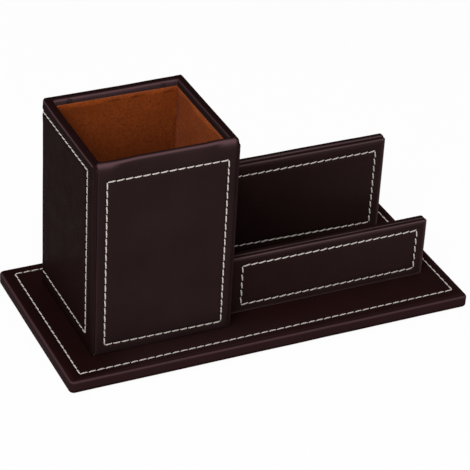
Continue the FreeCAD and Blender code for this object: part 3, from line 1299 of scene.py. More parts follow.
@dataclass
class Panel:
    """An upright panel: a leather-covered board at the back and a stitched facing on its front.

    The seam's fields give how far it runs from each edge of the facing. The two rises give how far the
    leather of each layer stands above its CAD solid.
    """

    name: str
    finishes: Finishes
    stitcher: Stitcher
    seam_top: float
    seam_low_left: float
    seam_low_right: float
    seam_left: float = 8.8
    seam_right: float = 5.15
    worn_and_painted_light: tuple[PaintedLightPatch, ...] = ()
    facing_rise: float = 0.4
    backing_rise: float = 0.4
    hem: float = 8.0
    lean: float = 8.5
    seed: float = 20.0

    def facing(self) -> CoveredBoard:
        """The stitched front layer.

        Returns:
            The cover, ready to build.
        """
        across, upward, depth = Side.FRONT.spans(self.name + "_facing_leather")
        card = Side.FRONT.spans(self.name + "_facing_card")
        seam = seam_corners(
            (across[0] + self.seam_left, across[1] - self.seam_right),
            (upward[0] + self.seam_low_left, upward[0] + self.seam_low_right),
            upward[1] - self.seam_top,
        )
        return CoveredBoard(
            Side.FRONT,
            across,
            (upward[0], upward[1] + self.facing_rise),
            depth,
            (card[0], card[1], (card[2][0] + 0.05, card[2][1])),
            self.hem,
            Grain(56, 16),
            edge=0.95,
            back_edge=0.55,
            # A painted highlight along the edges, partly rubbed wear, and the panel's patches of painted
            # light.
            edge_wear_and_painted_light=1.0,
            worn_and_painted_light=self.worn_and_painted_light,
            seam=seam,
            groove=Groove(depth=0.24, width=0.75, swell=0.12, reach=2.2),
            seed=self.seed,
        )

    def backing(self) -> CoveredBoard:
        """The plain layer at the back.

        Returns:
            The cover, ready to build.
        """
        across, upward, depth = Side.REAR.spans(self.name + "_leather")
        board = Side.REAR.spans(self.name + "_board")
        return CoveredBoard(
            Side.REAR,
            across,
            (upward[0], upward[1] + self.backing_rise),
            depth,
            (board[0], board[1], (board[2][0] + 0.05, board[2][1])),
            self.hem,
            Grain(40, 16),
            edge=1.3,
            back_edge=0.7,
            # Painted shade over the top edge and sides, and a painted highlight along the edge that faces the
            # front.
            edge_wear_and_painted_light=-0.9,
            side_painted_light=-0.9,
            back_edge_painted_light=0.9,
            uneven=0.09,
            seed=self.seed + 3.0,
        )

    def build(self) -> None:
        """Builds both layers and the seam."""
        name, outward = self.name, [Side.FRONT.outward] * 4
        facing = self.facing()
        cover = facing.build(name + "_facing_cover")
        self.finishes.mount(cover, "panel_leather", name + "_facing_leather")
        self.finishes.mount(self.backing().build(name + "_cover"), "panel_leather", name + "_leather")
        seam = self.stitcher.sew(name + "_seam", facing.seam_sides(), outward, self.lean, int(self.seed))
        self.finishes.mount(seam, "thread", name + "_stitching")


@dataclass
class Sheet:
    """A sheet of leather as a grid with a seen and a hidden side, closed along its free edges.

    Both sides are points in millimetres, rows by columns by 3. The wear and painted light is that of the seen
    side's points, from -1, painted shade, to 1, rubbed wear and painted highlight.
    """

    seen: np.ndarray
    hidden: np.ndarray
    wear_and_painted_light: np.ndarray

    def build(self, name: str, keep: np.ndarray | None = None) -> bpy.types.Object:
        """Makes the mesh object.

        Args:
            name: The piece's name.
            keep: For each face of the grid, whether the sheet has it. None means everywhere.

        Returns:
            The object, linked to the scene.
        """
        rows, columns = self.seen.shape[:2]
        count = rows * columns
        kept = np.ones((rows - 1, columns - 1), bool) if keep is None else keep
        faces: list[tuple[int, ...]] = []
        sides: dict[tuple[int, int], int] = {}
        for face in np.array(grid_faces(0, rows, columns))[kept.ravel()].tolist():
            faces.append(tuple(face))
            faces.append(tuple(index + count for index in reversed(face)))
            for start, end in zip(face, face[1:] + face[:1]):
                pair = (min(start, end), max(start, end))
                sides[pair] = sides.get(pair, 0) + 1
        for (start, end), uses in sides.items():
            if uses == 1:
                faces.append((start, end, end + count, start + count))
        points = np.vstack([self.seen.reshape(-1, 3), self.hidden.reshape(-1, 3)])
        wear_and_painted_light = np.concatenate([self.wear_and_painted_light.ravel(), np.zeros(count)])
        return mesh_object(name, points, faces, {"wear_and_painted_light": wear_and_painted_light})


# Points for each run between two control points of a rim's shape.
RIM_POINTS = 4


@dataclass
class PenCup:
    """The square cup: a sheet of leather on its front, one round its other walls, and suede inside.

    The tops give how high each wall's rim stands, and front_lift how much higher than its level top the
    front's rim stands along X. The wrap is the sheet round the left, rear and right walls. Its seams' fields
    give their distance from the cup's edges, and gap how far the front sheet's sides stay inside them.
    """

    finishes: Finishes
    stitcher: Stitcher
    leather: float = 1.0
    wall: float = 4.0
    boards: float = 3.2
    gap: float = 1.4
    front_lift: tuple[Point2, ...] = (
        (-83.0, 1.0),
        (-76.0, 0.8),
        (-70.0, 0.8),
        (-64.0, 1.15),
        (-32.0, 1.2),
        (-25.0, 1.7),
        (-19.0, 1.6),
        (-17.0, 1.5),
    )
    left_top: float = 104.0
    left_rear_top: float = 104.5
    rear_top: float = 104.5
    right_top: float = 104.75
    right_rear_top: float = 104.6
    front_seam_left: float = 5.6
    front_seam_right: float = 5.2
    front_seam_top: float = 7.8
    front_seam_low: Span = (4.9, 4.2)
    wrap_seam_left: float = 8.5
    wrap_seam_right: float = 7.0
    wrap_seam_top: float = 6.3
    wrap_seam_low: float = 7.3
    seam_corner: float = 0.8
    seam_edge_gap: float = 1.4
    lean: float = 3.5
    bulge: float = 0.25
    suede_proud: float = 0.12
    groove: Groove = Groove(reach=2.4)
    uneven: float = 0.1

    def __post_init__(self) -> None:
        """Takes the cup's place from its leather."""
        low, high = node_box("cup_wrap_leather")
        self.low, self.high = low, high
        self.base = low[2]
        self.cad_top = high[2]
        front_low, front_high = node_box("cup_front_leather")
        self.front_face = front_low[1]
        self.front_seam = seam_corners(
            (low[0] + self.front_seam_left, high[0] - self.front_seam_right),
            (self.base + self.front_seam_low[0], self.base + self.front_seam_low[1]),
            front_high[2] - self.front_seam_top,
        )

    def _rim(self, side: Side) -> tuple[np.ndarray, float]:
        """The shape of a wall's rim.

        Args:
            side: Which wall.

        Returns:
            Control points, each the depth from the outer face and the height from the rim's top, and
            the height of that top.
        """
        if side is Side.LEFT:
            shape = [(0, -3.2), (0, -2.2), (0.1, -1.4), (0.4, -0.75), (1.0, -0.3)]
            shape += [(1.8, -0.05), (2.7, 0.0), (3.3, -0.4), (3.8, -1.6), (3.95, -3.3)]
            return np.array(shape, float), self.left_top
        if side is Side.REAR:
            shape = [(0, -3), (0, -1.5), (0.08, -0.6), (0.35, -0.08), (1.0, 0.15)]
            shape += [(1.9, 0.18), (2.7, 0.0), (3.4, -0.45), (3.9, -1.3), (3.95, -3.7)]
            return np.array(shape, float), self.rear_top
        shape = [(0, -3.2), (0, -1.8), (0.12, -0.9), (0.45, -0.38), (1.0, -0.12)]
        shape += [(2.0, 0.0), (3.0, 0.0), (3.65, -0.32), (3.95, -1.2), (3.95, -4.2)]
        return np.array(shape, float), self.right_top

    def _wrap_rows(self) -> tuple[np.ndarray, np.ndarray, int]:
        """The levels of the wrapped walls, from the bottom over the rim to the lip.

        Returns:
            The depth and the height at each level of the right, rear and left walls, and how many
            levels lie below the rim.
        """
        low_seam, top_seam = self.base + self.wrap_seam_low, self.cad_top - self.wrap_seam_top
        heights = [self.base + 0.6, low_seam - 3.6]
        heights += [low_seam + reach for reach in ACROSS_SEAM]
        heights += spread(low_seam + NEAR_SEAM[-1], top_seam - NEAR_SEAM[-1], 4.0)
        heights += [top_seam + reach for reach in ACROSS_SEAM]
        depths = [0.35, 0.1] + [0.0] * len(heights)
        heights = [self.base, self.base + 0.22] + heights
        walls = []
        for side in (Side.RIGHT, Side.REAR, Side.LEFT):
            shape, top = self._rim(side)
            rim = round_line(shape, RIM_POINTS)
            depth = np.concatenate([depths, np.clip(rim[:, 0], 0.0, None)])
            walls.append((depth, np.concatenate([heights, rim[:, 1] + top])))
        depth, height = np.array([wall[0] for wall in walls]).T, np.array([wall[1] for wall in walls]).T
        return depth, height, len(heights)

    def _side_run(self, depth: float, rear: float, margin: float) -> list[Point2]:
        """One side wall at one level, from the strip in front to the rear corner.

        Args:
            depth: Depth from the outer face.
            rear: Where the straight run ends.
            margin: The seam's distance from the front.

        Returns:
            Points, each the depth from the outer face and the place along Y.
        """
        front = self.low[1]
        inner = min(depth, 0.47)
        reach = 0.5 - inner
        points = [(1.0 - inner, front + 1.5), (1.0 - inner, front + 0.9)]
        for angle in np.radians([0, 30, 60, 90, 120, 150, 180]):
            points.append((0.5 + reach * math.cos(angle), front + 0.5 - reach * math.sin(angle)))
        for away, most in ((0.9, 0.75), (1.4, 0.95), (2.1, 1.0), (2.85, 9.0), (3.0, 9.0), (3.25, 9.0)):
            points.append((min(depth, most), front + away))
        points += [(depth, front + away) for away in (3.7, 4.2)]
        stations = [front + margin + reach for reach in ACROSS_SEAM]
        stations += spread(stations[-1], self.high[1] - 12.0, 4.0) + [self.high[1] - 12.0]
        stations += [rear - away for away in (6.0, 4.4, 3.2, 2.2, 1.4, 0.8, 0.35, 0.0)]
        return points + [(depth, station) for station in stations]

    def _wrap_grid(self, depth: np.ndarray, height: np.ndarray) -> tuple[np.ndarray, np.ndarray, np.ndarray]:
        """Points of the wrapped walls.

        Args:
            depth: The depth at each level of the right, rear and left walls.
            height: The height at each level of the three walls.

        Returns:
            The points, their outward directions, and for each column which wall it is on: 0 to 2.
        """
        rows, normals, walls = [], [], np.array([])
        rear_share = np.linspace(0.0, 1.0, 7)[1:-1]
        ends = [0.3, 0.6, 0.9, 1.2, 1.6, 2.0, 2.5, 3.1, 3.8, 4.6, 6.0, 8.5]
        for (right, rear, left), (right_z, rear_z, left_z) in zip(depth, height):
            radius = max(1.0 - rear, 0.15)
            right_end, left_end = self.high[0] - right - radius, self.low[0] + left + radius
            back = self.high[1] - rear
            right_run = self._side_run(right, back - radius, self.wrap_seam_right)
            left_run = self._side_run(left, back - radius, self.wrap_seam_left)[::-1]
            bends = [math.radians(90.0 * share) for share in rear_share]
            fixed = [self.high[0] - 10.0, *spread(self.low[0] + 10.0, self.high[0] - 10.0, 4.0)[::-1]]
            fixed.append(self.low[0] + 10.0)
            plan = [(self.high[0] - u, y) for u, y in right_run]
            plan += [(right_end + radius * math.cos(b), back - radius + radius * math.sin(b)) for b in bends]
            plan += [(right_end - away, back) for away in [0.0, *ends]] + [(x, back) for x in fixed]
            plan += [(left_end + away, back) for away in [*ends[::-1], 0.0]]
            plan += [(left_end - radius * math.sin(b), back - radius + radius * math.cos(b)) for b in bends]
            plan += [(self.low[0] + u, y) for u, y in left_run]
            middle = 2 * len(ends) + 2 + len(fixed)
            runs = [np.zeros(len(right_run)), rear_share, np.ones(middle)]
            walls = np.concatenate([*runs, 1.0 + rear_share, np.full(len(left_run), 2.0)])
            rise = np.interp(walls, (0.0, 1.0, 2.0), (right_z, rear_z, left_z))
            rows.append(np.column_stack([np.array(plan), rise]))
            angle = np.radians(90.0 * walls)
            normals.append(np.column_stack([np.cos(angle), np.sin(angle), 0.0 * angle]))
        return np.array(rows), np.array(normals), walls

    def _wrap_relief(self, points: np.ndarray, walls: np.ndarray) -> np.ndarray:
        """How the wrap's seam draws it in.

        Args:
            points: Points of the walls, level by level.
            walls: Which wall each column is on.

        Returns:
            How far each point rises from its wall, in millimetres.
        """
        low, top = self.base + self.wrap_seam_low, self.cad_top - self.wrap_seam_top
        rear = self.high[1] + 4.0
        flat = points[..., 1:]
        right = self.low[1] + self.wrap_seam_right
        left = self.low[1] + self.wrap_seam_left
        gaps = []
        for front in (right, left):
            line = seam_line([(rear, low), (front, low), (front, top), (rear, top)], self.seam_corner, False)
            gaps.append(path_distance(flat, line))
        level = np.minimum(abs(points[..., 2] - low), abs(points[..., 2] - top))
        distance = np.where(walls < 0.5, gaps[0], np.where(walls > 1.5, gaps[1], level))
        return self.groove.relief(distance)

    def wrap(self) -> bpy.types.Object:
        """The leather round the left, rear and right walls, turned over their rim.

        Returns:
            The finished object.
        """
        depth, height, below = self._wrap_rows()
        seen, normals, walls = self._wrap_grid(depth, height)
        relief = self._wrap_relief(seen, walls)
        relief[below:] = 0.0
        sides = (walls < 0.01) | (walls > 1.99)
        strip = sides & (seen[0, :, 1] < self.low[1] + 3.0)
        relief[:, strip] = 0.0
        seen = seen + normals * relief[..., None]
        fall = self._rim_fall(seen, depth, height, walls)
        fall[:below] = 0.0
        seen[..., 2] -= fall
        seen[..., 0] -= self.bulge * (walls > 1.5) * smoothstep(3.0, 0.0, seen[..., 0] - self.low[0])
        seen = unsettled(seen, self.uneven, length=19.0, seed=40.0, step=5.0)
        tops = np.array([self.right_top, self.rear_top, self.left_top]) - self.leather
        inner = np.clip(depth, self.leather, self.boards)
        hidden, _, _ = self._wrap_grid(inner, np.clip(height, self.base, tops))
        hidden[..., 2] -= fall * sides
        keep = np.ones((seen.shape[0] - 1, seen.shape[1] - 1), bool)
        # In front, where the front sheet covers them, the side rims end at their fifth control point.
        ahead = sides & (seen[0, :, 1] < self.low[1] + 2.7)
        keep[below + 4 * RIM_POINTS :, ahead[:-1] | ahead[1:]] = False
        inward = np.minimum(seen[5, :, 0] - self.low[0], self.high[0] - seen[5, :, 0])
        worn_and_painted_light = self._wrap_wear_and_painted_light(depth, height, walls, below)
        # Painted highlight on the front-facing side of the left corner strip, and painted shade on its outer
        # side and on the right strip.
        left_strip_painted_light = -0.6 + 0.85 * smoothstep(0.15, 0.6, inward)
        worn_and_painted_light[:, strip] = np.where(walls < 1, -0.3, left_strip_painted_light)[strip]
        return Sheet(seen, hidden, worn_and_painted_light).build("cup_wrap", keep)

    def _rim_fall(
        self, seen: np.ndarray, depth: np.ndarray, height: np.ndarray, walls: np.ndarray
    ) -> np.ndarray:
        """How far the wrap's rim drops below the level tops of its three walls.

        It drops or rises towards the rear corners, has a crease in each, steps down behind the front
        sheet, is cut low at the right wall's front end, and is a little lower along the rear wall's left
        half.

        Args:
            seen: Points of the seen side, level by level.
            depth: The depth at each level of the right, rear and left walls.
            height: The height at each level of the three walls.
            walls: Which wall each column is on.

        Returns:
            The drop at each point, in millimetres.
        """
        fall = np.zeros(seen.shape[:2])
        sides = (walls < 0.01) | (walls > 1.99)
        rear = (walls > 0.8) & (walls < 1.2)
        for outer, top in ((self.low[0], self.left_rear_top), (self.high[0], self.right_rear_top)):
            inward = abs(seen[..., 0] - outer)
            corner = smoothstep(self.wall + 0.35, self.wall - 0.05, inward) * rear
            crease = 0.3 * np.exp(-(((inward - self.wall - 0.15) / 0.28) ** 2)) * rear
            fall -= (top - self.rear_top) * corner - crease * (depth[:, 1:2] > 0.3)
        along = (seen[..., 1] - self.low[1]) / (self.high[1] - self.low[1])
        fall -= (self.right_rear_top - self.right_top) * along * np.clip(1.0 - walls, 0.0, 1.0)
        rear_end = smoothstep(0.7, 1.0, along)
        fall -= (self.left_rear_top - self.left_top) * rear_end * np.clip(walls - 1.0, 0.0, 1.0)
        begun = smoothstep(self.low[1] + 3.2, self.low[1] + 2.85, seen[..., 1])
        fall += 1.4 * begun * sides * (depth[:, :1] > self.leather)
        cut = smoothstep(self.right_top - 3.2, self.right_top - 1.0, height[:, :1])
        cut = cut * (depth[:, :1] <= self.leather)
        fall += 1.6 * smoothstep(self.low[1] + 3.4, self.low[1] + 2.2, seen[..., 1]) * (walls < 0.01) * cut
        fall += 0.28 * smoothstep(-25.0, -50.0, seen[..., 0]) * rear
        return fall

    def _wrap_wear_and_painted_light(self, depth: np.ndarray, height: np.ndarray, walls: np.ndarray, below: int) -> np.ndarray:
        """Painted light on the wrap: highlights, partly rubbed wear, on rim edges, and painted shade on tops
        and walls.

        Args:
            depth: The depth at each level of the right, rear and left walls.
            height: The height at each level of the three walls.
            walls: Which wall each column is on.
            below: How many levels lie below the rim.

        Returns:
            The wear and painted light at each point, from -1 to 1.
        """
        outside = np.where(depth[:, 2] < 1.0, depth[:, 2] + height[:, 2] - self.left_top, 9.0)
        # Painted highlights at the right and rear rims' inner edges and the left rim's outer edge, painted
        # shade elsewhere on the rims.
        peaks = ((depth[:, 0], 3.75, 0.4, 0.4), (depth[:, 1], 3.6, 0.55, 0.95), (outside, -1.15, 0.7, 0.75))
        levels = []
        for place, middle, width, most in peaks:
            levels.append((most + 1.0) * np.exp(-(((place - middle) / width) ** 2)) - 1.0)
        right, rear, left = levels
        wear_and_painted_light = np.array([np.interp(walls, (0.0, 1.0, 2.0), level) for level in zip(right, rear, left)])
        # Painted shade on the walls below the rims, most on the left wall.
        wear_and_painted_light[:below] = np.interp(walls, (0.0, 1.0, 2.0), (-0.35, -0.35, -0.9))
        wear_and_painted_light[below : below + 5] = np.maximum(wear_and_painted_light[below : below + 5], wear_and_painted_light[below - 1])
        return wear_and_painted_light

    def _front_rows(self) -> np.ndarray:
        """The front sheet's levels, up the face, over the rim and down its lip.

        Returns:
            The place along Y, the height, the tilt of the outward direction and how far the sheet has
            turned over, from 0 to 1, one row a level.
        """
        low = self.base + sum(self.front_seam_low) / 2
        top = self.front_seam[2, 1]
        heights = [self.base + 0.6] + [low + reach for reach in ACROSS_SEAM]
        heights += spread(low + NEAR_SEAM[-1], top - NEAR_SEAM[-1], 4.0)
        heights += [top + reach for reach in ACROSS_SEAM]
        face = self.front_face
        rows = [(face + 0.35, self.base, 0.0, 0.0), (face + 0.1, self.base + 0.22, 0.0, 0.0)]
        rows += [(face, height, 0.0, 0.0) for height in heights]
        at = [0.0, 1.5, 3.5, 4.6, 5.5, 6.2, 7.2, 8.0, 8.6, 12.2]
        tilts = [0.0, 4.0, 12.0, 28.0, 52.0, 74.0, 94.0, 150.0, 178.0, 180.0]
        step = 0.25
        # How far back a level step of 1 goes: the rim is a little deeper than its turning alone gives.
        deeper = 1.07
        y, z = face, heights[-1]
        for index in range(1, int(at[-1] / step) + 1):
            tilt = math.radians(np.interp((index - 0.5) * step, at, tilts))
            y += deeper * step * math.sin(tilt)
            z += step * math.cos(tilt)
            tilt = math.radians(np.interp(index * step, at, tilts))
            rows.append((y, z, tilt, smoothstep(0.5, 6.0, index * step)))
        return np.array(rows)

    def front(self) -> bpy.types.Object:
        """The leather of the front wall, its side edges rolled back and its top turned over the rim.

        Returns:
            The finished object.
        """
        left, right = self.front_seam[:2, 0]
        edges = (self.low[0] + self.gap, self.high[0] - self.gap)
        roll = 0.85
        # Each column's place from the sheet's side edge, and its depth: a flange, then the rolled edge.
        flange = 0.72
        columns = [(0.25 - self.gap, flange), (-0.15, flange), (0.0, roll)]
        for angle in np.radians([0, 20, 40, 60, 75, 90]):
            columns.append((roll * (1 - math.cos(angle)), roll * (1 - math.sin(angle))))
        flat = [left + reach for reach in ACROSS_SEAM]
        flat += spread(flat[-1], right - NEAR_SEAM[-1], 4.0) + [right + reach for reach in ACROSS_SEAM]
        across = np.array(
            [edges[0] + away for away, _ in columns]
            + [edges[0] + 1.6, *flat, edges[1] - 1.6]
            + [edges[1] - away for away, _ in columns[::-1]]
        )
        edge_depths = [deep for _, deep in columns]
        depth = np.array(edge_depths + [0.0] * (len(flat) + 2) + edge_depths[::-1])
        rows = self._front_rows()
        low_left, low_right = self.front_seam_low
        low = self.base + (low_left + low_right) / 2
        share = (across - left) / (right - left)
        slope = (low_left - low_right) * (0.5 - share)
        level = rows[:, 1:2]
        begun = smoothstep(self.base + 0.5, low - 2.0, level)
        height = level + slope * begun * smoothstep(low + 14.0, low + 2.0, level)
        lift = np.interp(across, *np.array(self.front_lift).T)
        height = height + lift * rows[:, 3:4]
        seam = seam_line(self.front_seam, self.seam_corner)
        place = np.stack([np.broadcast_to(across, height.shape), height], axis=-1)
        relief = self.groove.relief(path_distance(place, seam)) * (rows[:, 2:3] < 0.3)
        relief = relief * (depth < 0.01)
        tilt = rows[:, 2:3]
        inward = np.minimum(depth, np.where(tilt > 1.2, 0.7, np.inf)) - relief
        seen = np.stack(
            [
                place[..., 0],
                rows[:, 0:1] + inward * np.cos(tilt),
                height - inward * np.sin(tilt),
            ],
            axis=-1,
        )
        seen = unsettled(seen, self.uneven, length=19.0, seed=60.0, step=5.0)
        board_low, board_high = node_box("cup_front_board")
        inner_low = np.array([edges[0] + 0.9, board_low[1], board_low[2]])
        inner_high = np.array([edges[1] - 0.9, board_high[1], board_high[2]])
        hidden = np.clip(seen, inner_low, inner_high)
        # Painted highlight along the rim's front edge, broader at its ends, painted shade over its top and
        # lip, and a faint painted highlight on the rolled side edges.
        ends = np.maximum(smoothstep(-70.0, -77.0, across), smoothstep(-29.0, -23.0, across))
        away = abs(tilt - (0.98 - 0.2 * ends)) / (1.0 + 0.7 * ends)
        rim_painted_light = 0.85 * smoothstep(0.42, 0.05, away) + 0.08 * smoothstep(0.0, 0.9, tilt)
        rim_painted_light = rim_painted_light - 1.1 * smoothstep(1.3, 1.65, tilt)
        rolled = 0.18 * smoothstep(0.05, 0.3, depth) * smoothstep(0.75, 0.5, depth)
        wear_and_painted_light = np.where(tilt < 0.3, np.maximum(rim_painted_light, rolled), rim_painted_light - 0.8 * (depth > 0.7))
        return Sheet(seen, hidden, wear_and_painted_light).build("cup_front_cover")

    def seams(self) -> tuple[bpy.types.Object, bpy.types.Object]:
        """The seams of the front sheet and of the wrap.

        Returns:
            The two seams as finished objects.
        """
        lines = four_sides(Side.FRONT.world(self.front_seam, -self.front_face - THREAD_SINK))
        front = self.stitcher.sew("cup_front_seam", lines, [Side.FRONT.outward] * 4, self.lean, 31)
        low, top = self.base + self.wrap_seam_low, self.cad_top - self.wrap_seam_top
        rear = self.high[1] - self.seam_edge_gap
        lines, outward = [], []
        for side, x, margin in (
            (Side.LEFT, self.low[0] + THREAD_SINK - self.bulge, self.wrap_seam_left),
            (Side.RIGHT, self.high[0] - THREAD_SINK, self.wrap_seam_right),
        ):
            ahead = self.low[1] + margin
            corners = np.array([(x, rear, low), (x, ahead, low), (x, ahead, top), (x, rear, top)])
            for line in four_sides(corners)[:3]:
                runs = self._free_runs(line) if side is Side.RIGHT else [line]
                lines += runs
                outward += [side.outward] * len(runs)
        ends = (self.high[0] - self.seam_edge_gap, self.low[0] + self.seam_edge_gap)
        for height in (low, top):
            lines.append(np.array([(x, self.high[1] - THREAD_SINK, height) for x in ends]))
            outward.append(Side.REAR.outward)
        wrap = self.stitcher.sew("cup_wrap_seam", lines, outward, self.lean, 32)
        return front, wrap

    def _free_runs(self, line: np.ndarray) -> list[np.ndarray]:
        """The runs of one side of the right wall's seam where no panel presses on it.

        Args:
            line: The two ends of the side.

        Returns:
            The ends of each run, whose length is a whole number of stitches.
        """
        count = round(np.linalg.norm(line[1] - line[0]) / self.stitcher.pitch)
        spots = [line[0] + (line[1] - line[0]) * index / count for index in range(count + 1)]
        runs: list[list[np.ndarray]] = []
        was_free = False
        for start, end in zip(spots[:-1], spots[1:]):
            free = not self._pressed(np.minimum(start, end), np.maximum(start, end))
            if free and was_free:
                runs[-1][1] = end
            elif free:
                runs.append([start, end])
            was_free = free
        return [np.array(run) for run in runs]

    @staticmethod
    def _pressed(low: np.ndarray, high: np.ndarray) -> bool:
        """Whether the end of a panel presses on a stitch of the right wall.

        Args:
            low: The stitch's lowest place along each axis.
            high: Its highest.

        Returns:
            Whether a panel is on it or very near.
        """
        # How near a panel may come, in millimetres.
        near = 0.4
        for panel in ("front_panel", "rear_panel"):
            front = node_box(panel + "_facing_leather")[0]
            back = node_box(panel + "_leather")[1]
            if high[1] > front[1] - near and low[1] < back[1] + near and low[2] < back[2]:
                return True
        return False

    def lining(self, node: str, side: Side, nap: tuple[float, float, float]) -> bpy.types.Object:
        """One sheet of the suede lining.

        Args:
            node: The CAD node that it stands for.
            side: Which way its napped face looks.
            nap: How much painted shade it has at the top, 50 mm lower and, in addition, at its left end.

        Returns:
            The finished object.
        """
        across, upward, depth = side.spans(node)
        if side is not Side.UP:
            # How far below its solid's top the sheet ends.
            short = 1.0 if side is Side.LEFT else 0.45
            upward = (upward[0], upward[1] - short)
        grain = Grain(20, 30 if side is not Side.UP else 20, 3)
        loft = Loft(grain)
        outline = box_corners(across, upward)
        face = depth[1] + self.suede_proud

        def worn_and_painted_light(flat: np.ndarray) -> np.ndarray:
            """Pale along the cut top edge, with painted shade lower down and at the left end.

            Args:
                flat: Points on the sheet.

            Returns:
                The paleness and painted shade at each point, from -1 to 1.
            """
            lower = smoothstep(upward[1], upward[1] - 50.0, flat[..., 1])
            corner = smoothstep(across[0] + 26.0, across[0], flat[..., 0])
            pale = 0.45 * smoothstep(upward[1] - 0.55, upward[1] - 0.15, flat[..., 1])
            pale = pale * (side is not Side.UP)
            # Painted shade, deeper lower down and at the left end.
            painted_shade = nap[0] + (nap[1] - nap[0]) * lower + nap[2] * corner
            return pale - (1.0 - pale) * np.clip(painted_shade, 0.0, 0.95)

        profile = [(0.02, depth[0]), (0.02, face - 0.3), (0.1, face - 0.1), (0.32, face), (2.5, face)]
        for inset, height in profile:
            flat = grain.ring(offset_corners(outline, [-inset] * 4), 0.15)
            loft.add(side.world(flat, height), worn_and_painted_light(flat))
        middle = grain.middle(flat)
        last = side.world(middle, face)
        crown = 0.12 * waves(last, 14.0, 70.0 + depth[0])
        crown[0], crown[-1], crown[:, 0], crown[:, -1] = 0.0, 0.0, 0.0, 0.0
        last = last + crown[..., None] * np.array(side.outward)
        return loft.build(node.replace("lining", "suede"), grain.middle(loft.rings[0]), last, worn_and_painted_light(middle))

    def build(self) -> None:
        """Builds the cup's leather, seams and linings."""
        self.finishes.mount(self.wrap(), "cup_leather", "cup_wrap_leather")
        self.finishes.mount(self.front(), "cup_leather", "cup_front_leather")
        front_seam, wrap_seam = self.seams()
        self.finishes.mount(front_seam, "thread", "cup_front_stitching")
        self.finishes.mount(wrap_seam, "thread", "cup_wrap_stitching")
        # Each lining's painted shade: at its top, 50 mm lower and added at its left end.
        for node, side, nap in (
            ("cup_front_lining", Side.REAR, (0.0, 0.4, 0.0)),
            ("cup_rear_lining", Side.FRONT, (0.2, 0.8, 0.3)),
            ("cup_left_lining", Side.RIGHT, (0.0, 0.4, 0.0)),
            ("cup_right_lining", Side.LEFT, (0.1, 0.0, 0.0)),
            ("cup_floor_lining", Side.UP, (0.3, 0.3, 0.0)),
        ):
            suede = self.lining(node, side, nap)
            self.finishes.mount(suede, "suede", node)
            side.spans(node)


# The CAD nodes that stay, with their material slots.
KEPT_NODES = {
    "base_board": "fibreboard",
    "cup_floor_board": "fibreboard",
    "cup_front_board": "fibreboard",
    "cup_rear_board": "fibreboard",
    "cup_left_board": "fibreboard",
    "cup_right_board": "fibreboard",
    "cup_screws": "steel",
    "front_panel_board": "fibreboard",
    "front_panel_facing_card": "card",
    "front_panel_pins": "steel",
    "rear_panel_board": "fibreboard",
    "rear_panel_facing_card": "card",
    "rear_panel_pins": "steel",
}


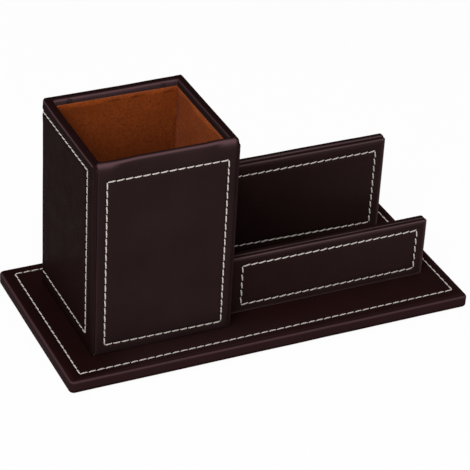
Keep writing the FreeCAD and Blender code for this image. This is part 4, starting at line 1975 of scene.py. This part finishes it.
@dataclass
class Studio:
    """The camera, the floor and the light.

    The camera's place and angles, in metres and degrees, come from a fit to the photograph's edges.
    floor_share is how much of the floor's look is plain white.
    """

    azimuth: float = -26.1751
    elevation: float = 31.9973
    roll: float = 3.3224
    position: tuple[float, float, float] = (-0.36816, -0.74758, 0.55413)
    focal: float = 161.98
    floor_share: float = 0.95

    def build(self) -> None:
        """Makes everything that isn't part of the stand."""
        self._camera()
        self._floor()
        self._world()
        self._lamp("key_light", place=(-0.62, -0.78, 1.15), aim=(0.0, 0.0, 0.05), size=0.8, power=16.0)

    def _camera(self) -> None:
        """The camera, where the photograph's stood."""
        data = bpy.data.cameras.new("camera")
        data.lens = self.focal
        data.sensor_width = 36.0
        data.clip_start, data.clip_end = 0.01, 50.0
        camera = bpy.data.objects.new("camera", data)
        turn, tilt = math.radians(self.azimuth), math.radians(self.elevation)
        back = Vector((math.sin(turn) * math.cos(tilt), -math.cos(turn) * math.cos(tilt), math.sin(tilt)))
        level = back.to_track_quat("Z", "Y").to_matrix()
        rolled = level @ Matrix.Rotation(math.radians(self.roll), 3, "Z")
        camera.matrix_world = Matrix.Translation(Vector(self.position)) @ rolled.to_4x4()
        bpy.context.scene.collection.objects.link(camera)
        bpy.context.scene.camera = camera
        bpy.context.scene.view_settings.view_transform = "Standard"

    def _floor(self) -> None:
        """A wide pale floor that keeps the stand's shadow.

        Seen straight or in a gloss it is nearly all plain white, and the rest shows light and shadow.
        """
        mesh = bpy.data.meshes.new("floor")
        reach = 6.0
        corners = [(-reach, -reach, 0.0), (reach, -reach, 0.0), (reach, reach, 0.0), (-reach, reach, 0.0)]
        mesh.from_pydata(corners, [], [(0, 1, 2, 3)])
        floor = bpy.data.objects.new("floor", mesh)
        bpy.context.scene.collection.objects.link(floor)
        paint = bpy.data.materials.new("floor_paint")
        paint.use_nodes = True
        nodes = Nodes(paint.node_tree)
        output = nodes.node("ShaderNodeOutputMaterial")
        matte = nodes.node("ShaderNodeBsdfDiffuse")
        matte.inputs["Color"].default_value = (0.88, 0.88, 0.88, 1.0)
        glow = nodes.node("ShaderNodeEmission")
        glow.inputs["Strength"].default_value = 1.0
        rays = nodes.node("ShaderNodeLightPath").outputs
        seen = nodes.sum_of("MAXIMUM", rays["Is Camera Ray"], rays["Is Glossy Ray"])
        either = nodes.sum_of("MAXIMUM", seen, rays["Is Transmission Ray"])
        mix = nodes.node("ShaderNodeMixShader")
        nodes.join(nodes.sum_of("MULTIPLY", either, self.floor_share), mix.inputs[0])
        nodes.join(matte.outputs[0], mix.inputs[1])
        nodes.join(glow.outputs[0], mix.inputs[2])
        nodes.join(mix.outputs[0], output.inputs["Surface"])
        mesh.materials.append(paint)

    def _world(self) -> None:
        """An even, pale surrounding light."""
        world = bpy.data.worlds.new("studio")
        world.use_nodes = True
        sky = world.node_tree.nodes["Background"]
        sky.inputs["Color"].default_value = (1.0, 1.0, 1.0, 1.0)
        sky.inputs["Strength"].default_value = 0.4
        bpy.context.scene.world = world

    def _lamp(
        self, name: str, place: Sequence[float], aim: Sequence[float], size: float, power: float
    ) -> None:
        """Adds a square soft box.

        Args:
            name: The lamp's name.
            place: Where it stands, in metres.
            aim: The point that it faces, in metres.
            size: Its width and height in metres.
            power: Its power in watts.
        """
        data = bpy.data.lights.new(name, "AREA")
        data.shape = "RECTANGLE"
        data.size, data.size_y = size, size
        data.energy = power
        lamp = bpy.data.objects.new(name, data)
        away = Vector(place) - Vector(aim)
        turned = away.to_track_quat("Z", "Y").to_matrix().to_4x4()
        lamp.matrix_world = Matrix.Translation(Vector(place)) @ turned
        bpy.context.scene.collection.objects.link(lamp)


def main() -> None:
    """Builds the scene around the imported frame."""
    logging.basicConfig(level=logging.INFO, format="%(message)s")
    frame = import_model()
    Studio().build()
    finishes = Finishes()
    stitcher = Stitcher(finishes.materials["thread"])
    for node, slot in KEPT_NODES.items():
        finishes.dress_node(node, frame["nodes"][node], slot)
    StandBase(finishes, stitcher).build()
    PenCup(finishes, stitcher).build()
    front = Panel(
        "front_panel",
        finishes,
        stitcher,
        seam_top=4.6,
        seam_low_left=4.65,
        seam_low_right=4.65,
        # A patch of painted light at the panel's right end.
        worn_and_painted_light=((70.0, 28.0, 40.0, 30.0, 0.06),),
        backing_rise=0.1,
        seed=21.0,
    )
    front.build()
    rear = Panel(
        "rear_panel",
        finishes,
        stitcher,
        seam_top=5.85,
        seam_low_left=5.8,
        seam_low_right=3.95,
        # Painted light at the right end, and painted shade at the left end near the cup and low down behind
        # the front panel.
        worn_and_painted_light=(
            (82.0, 40.0, 38.0, 30.0, 0.09),
            (-14.0, 20.0, 26.0, 26.0, -0.45),
            (34.0, 8.0, 40.0, 13.0, -0.6),
        ),
        backing_rise=0.35,
        seed=27.0,
    )
    rear.build()


if __name__ == "__main__":
    main()
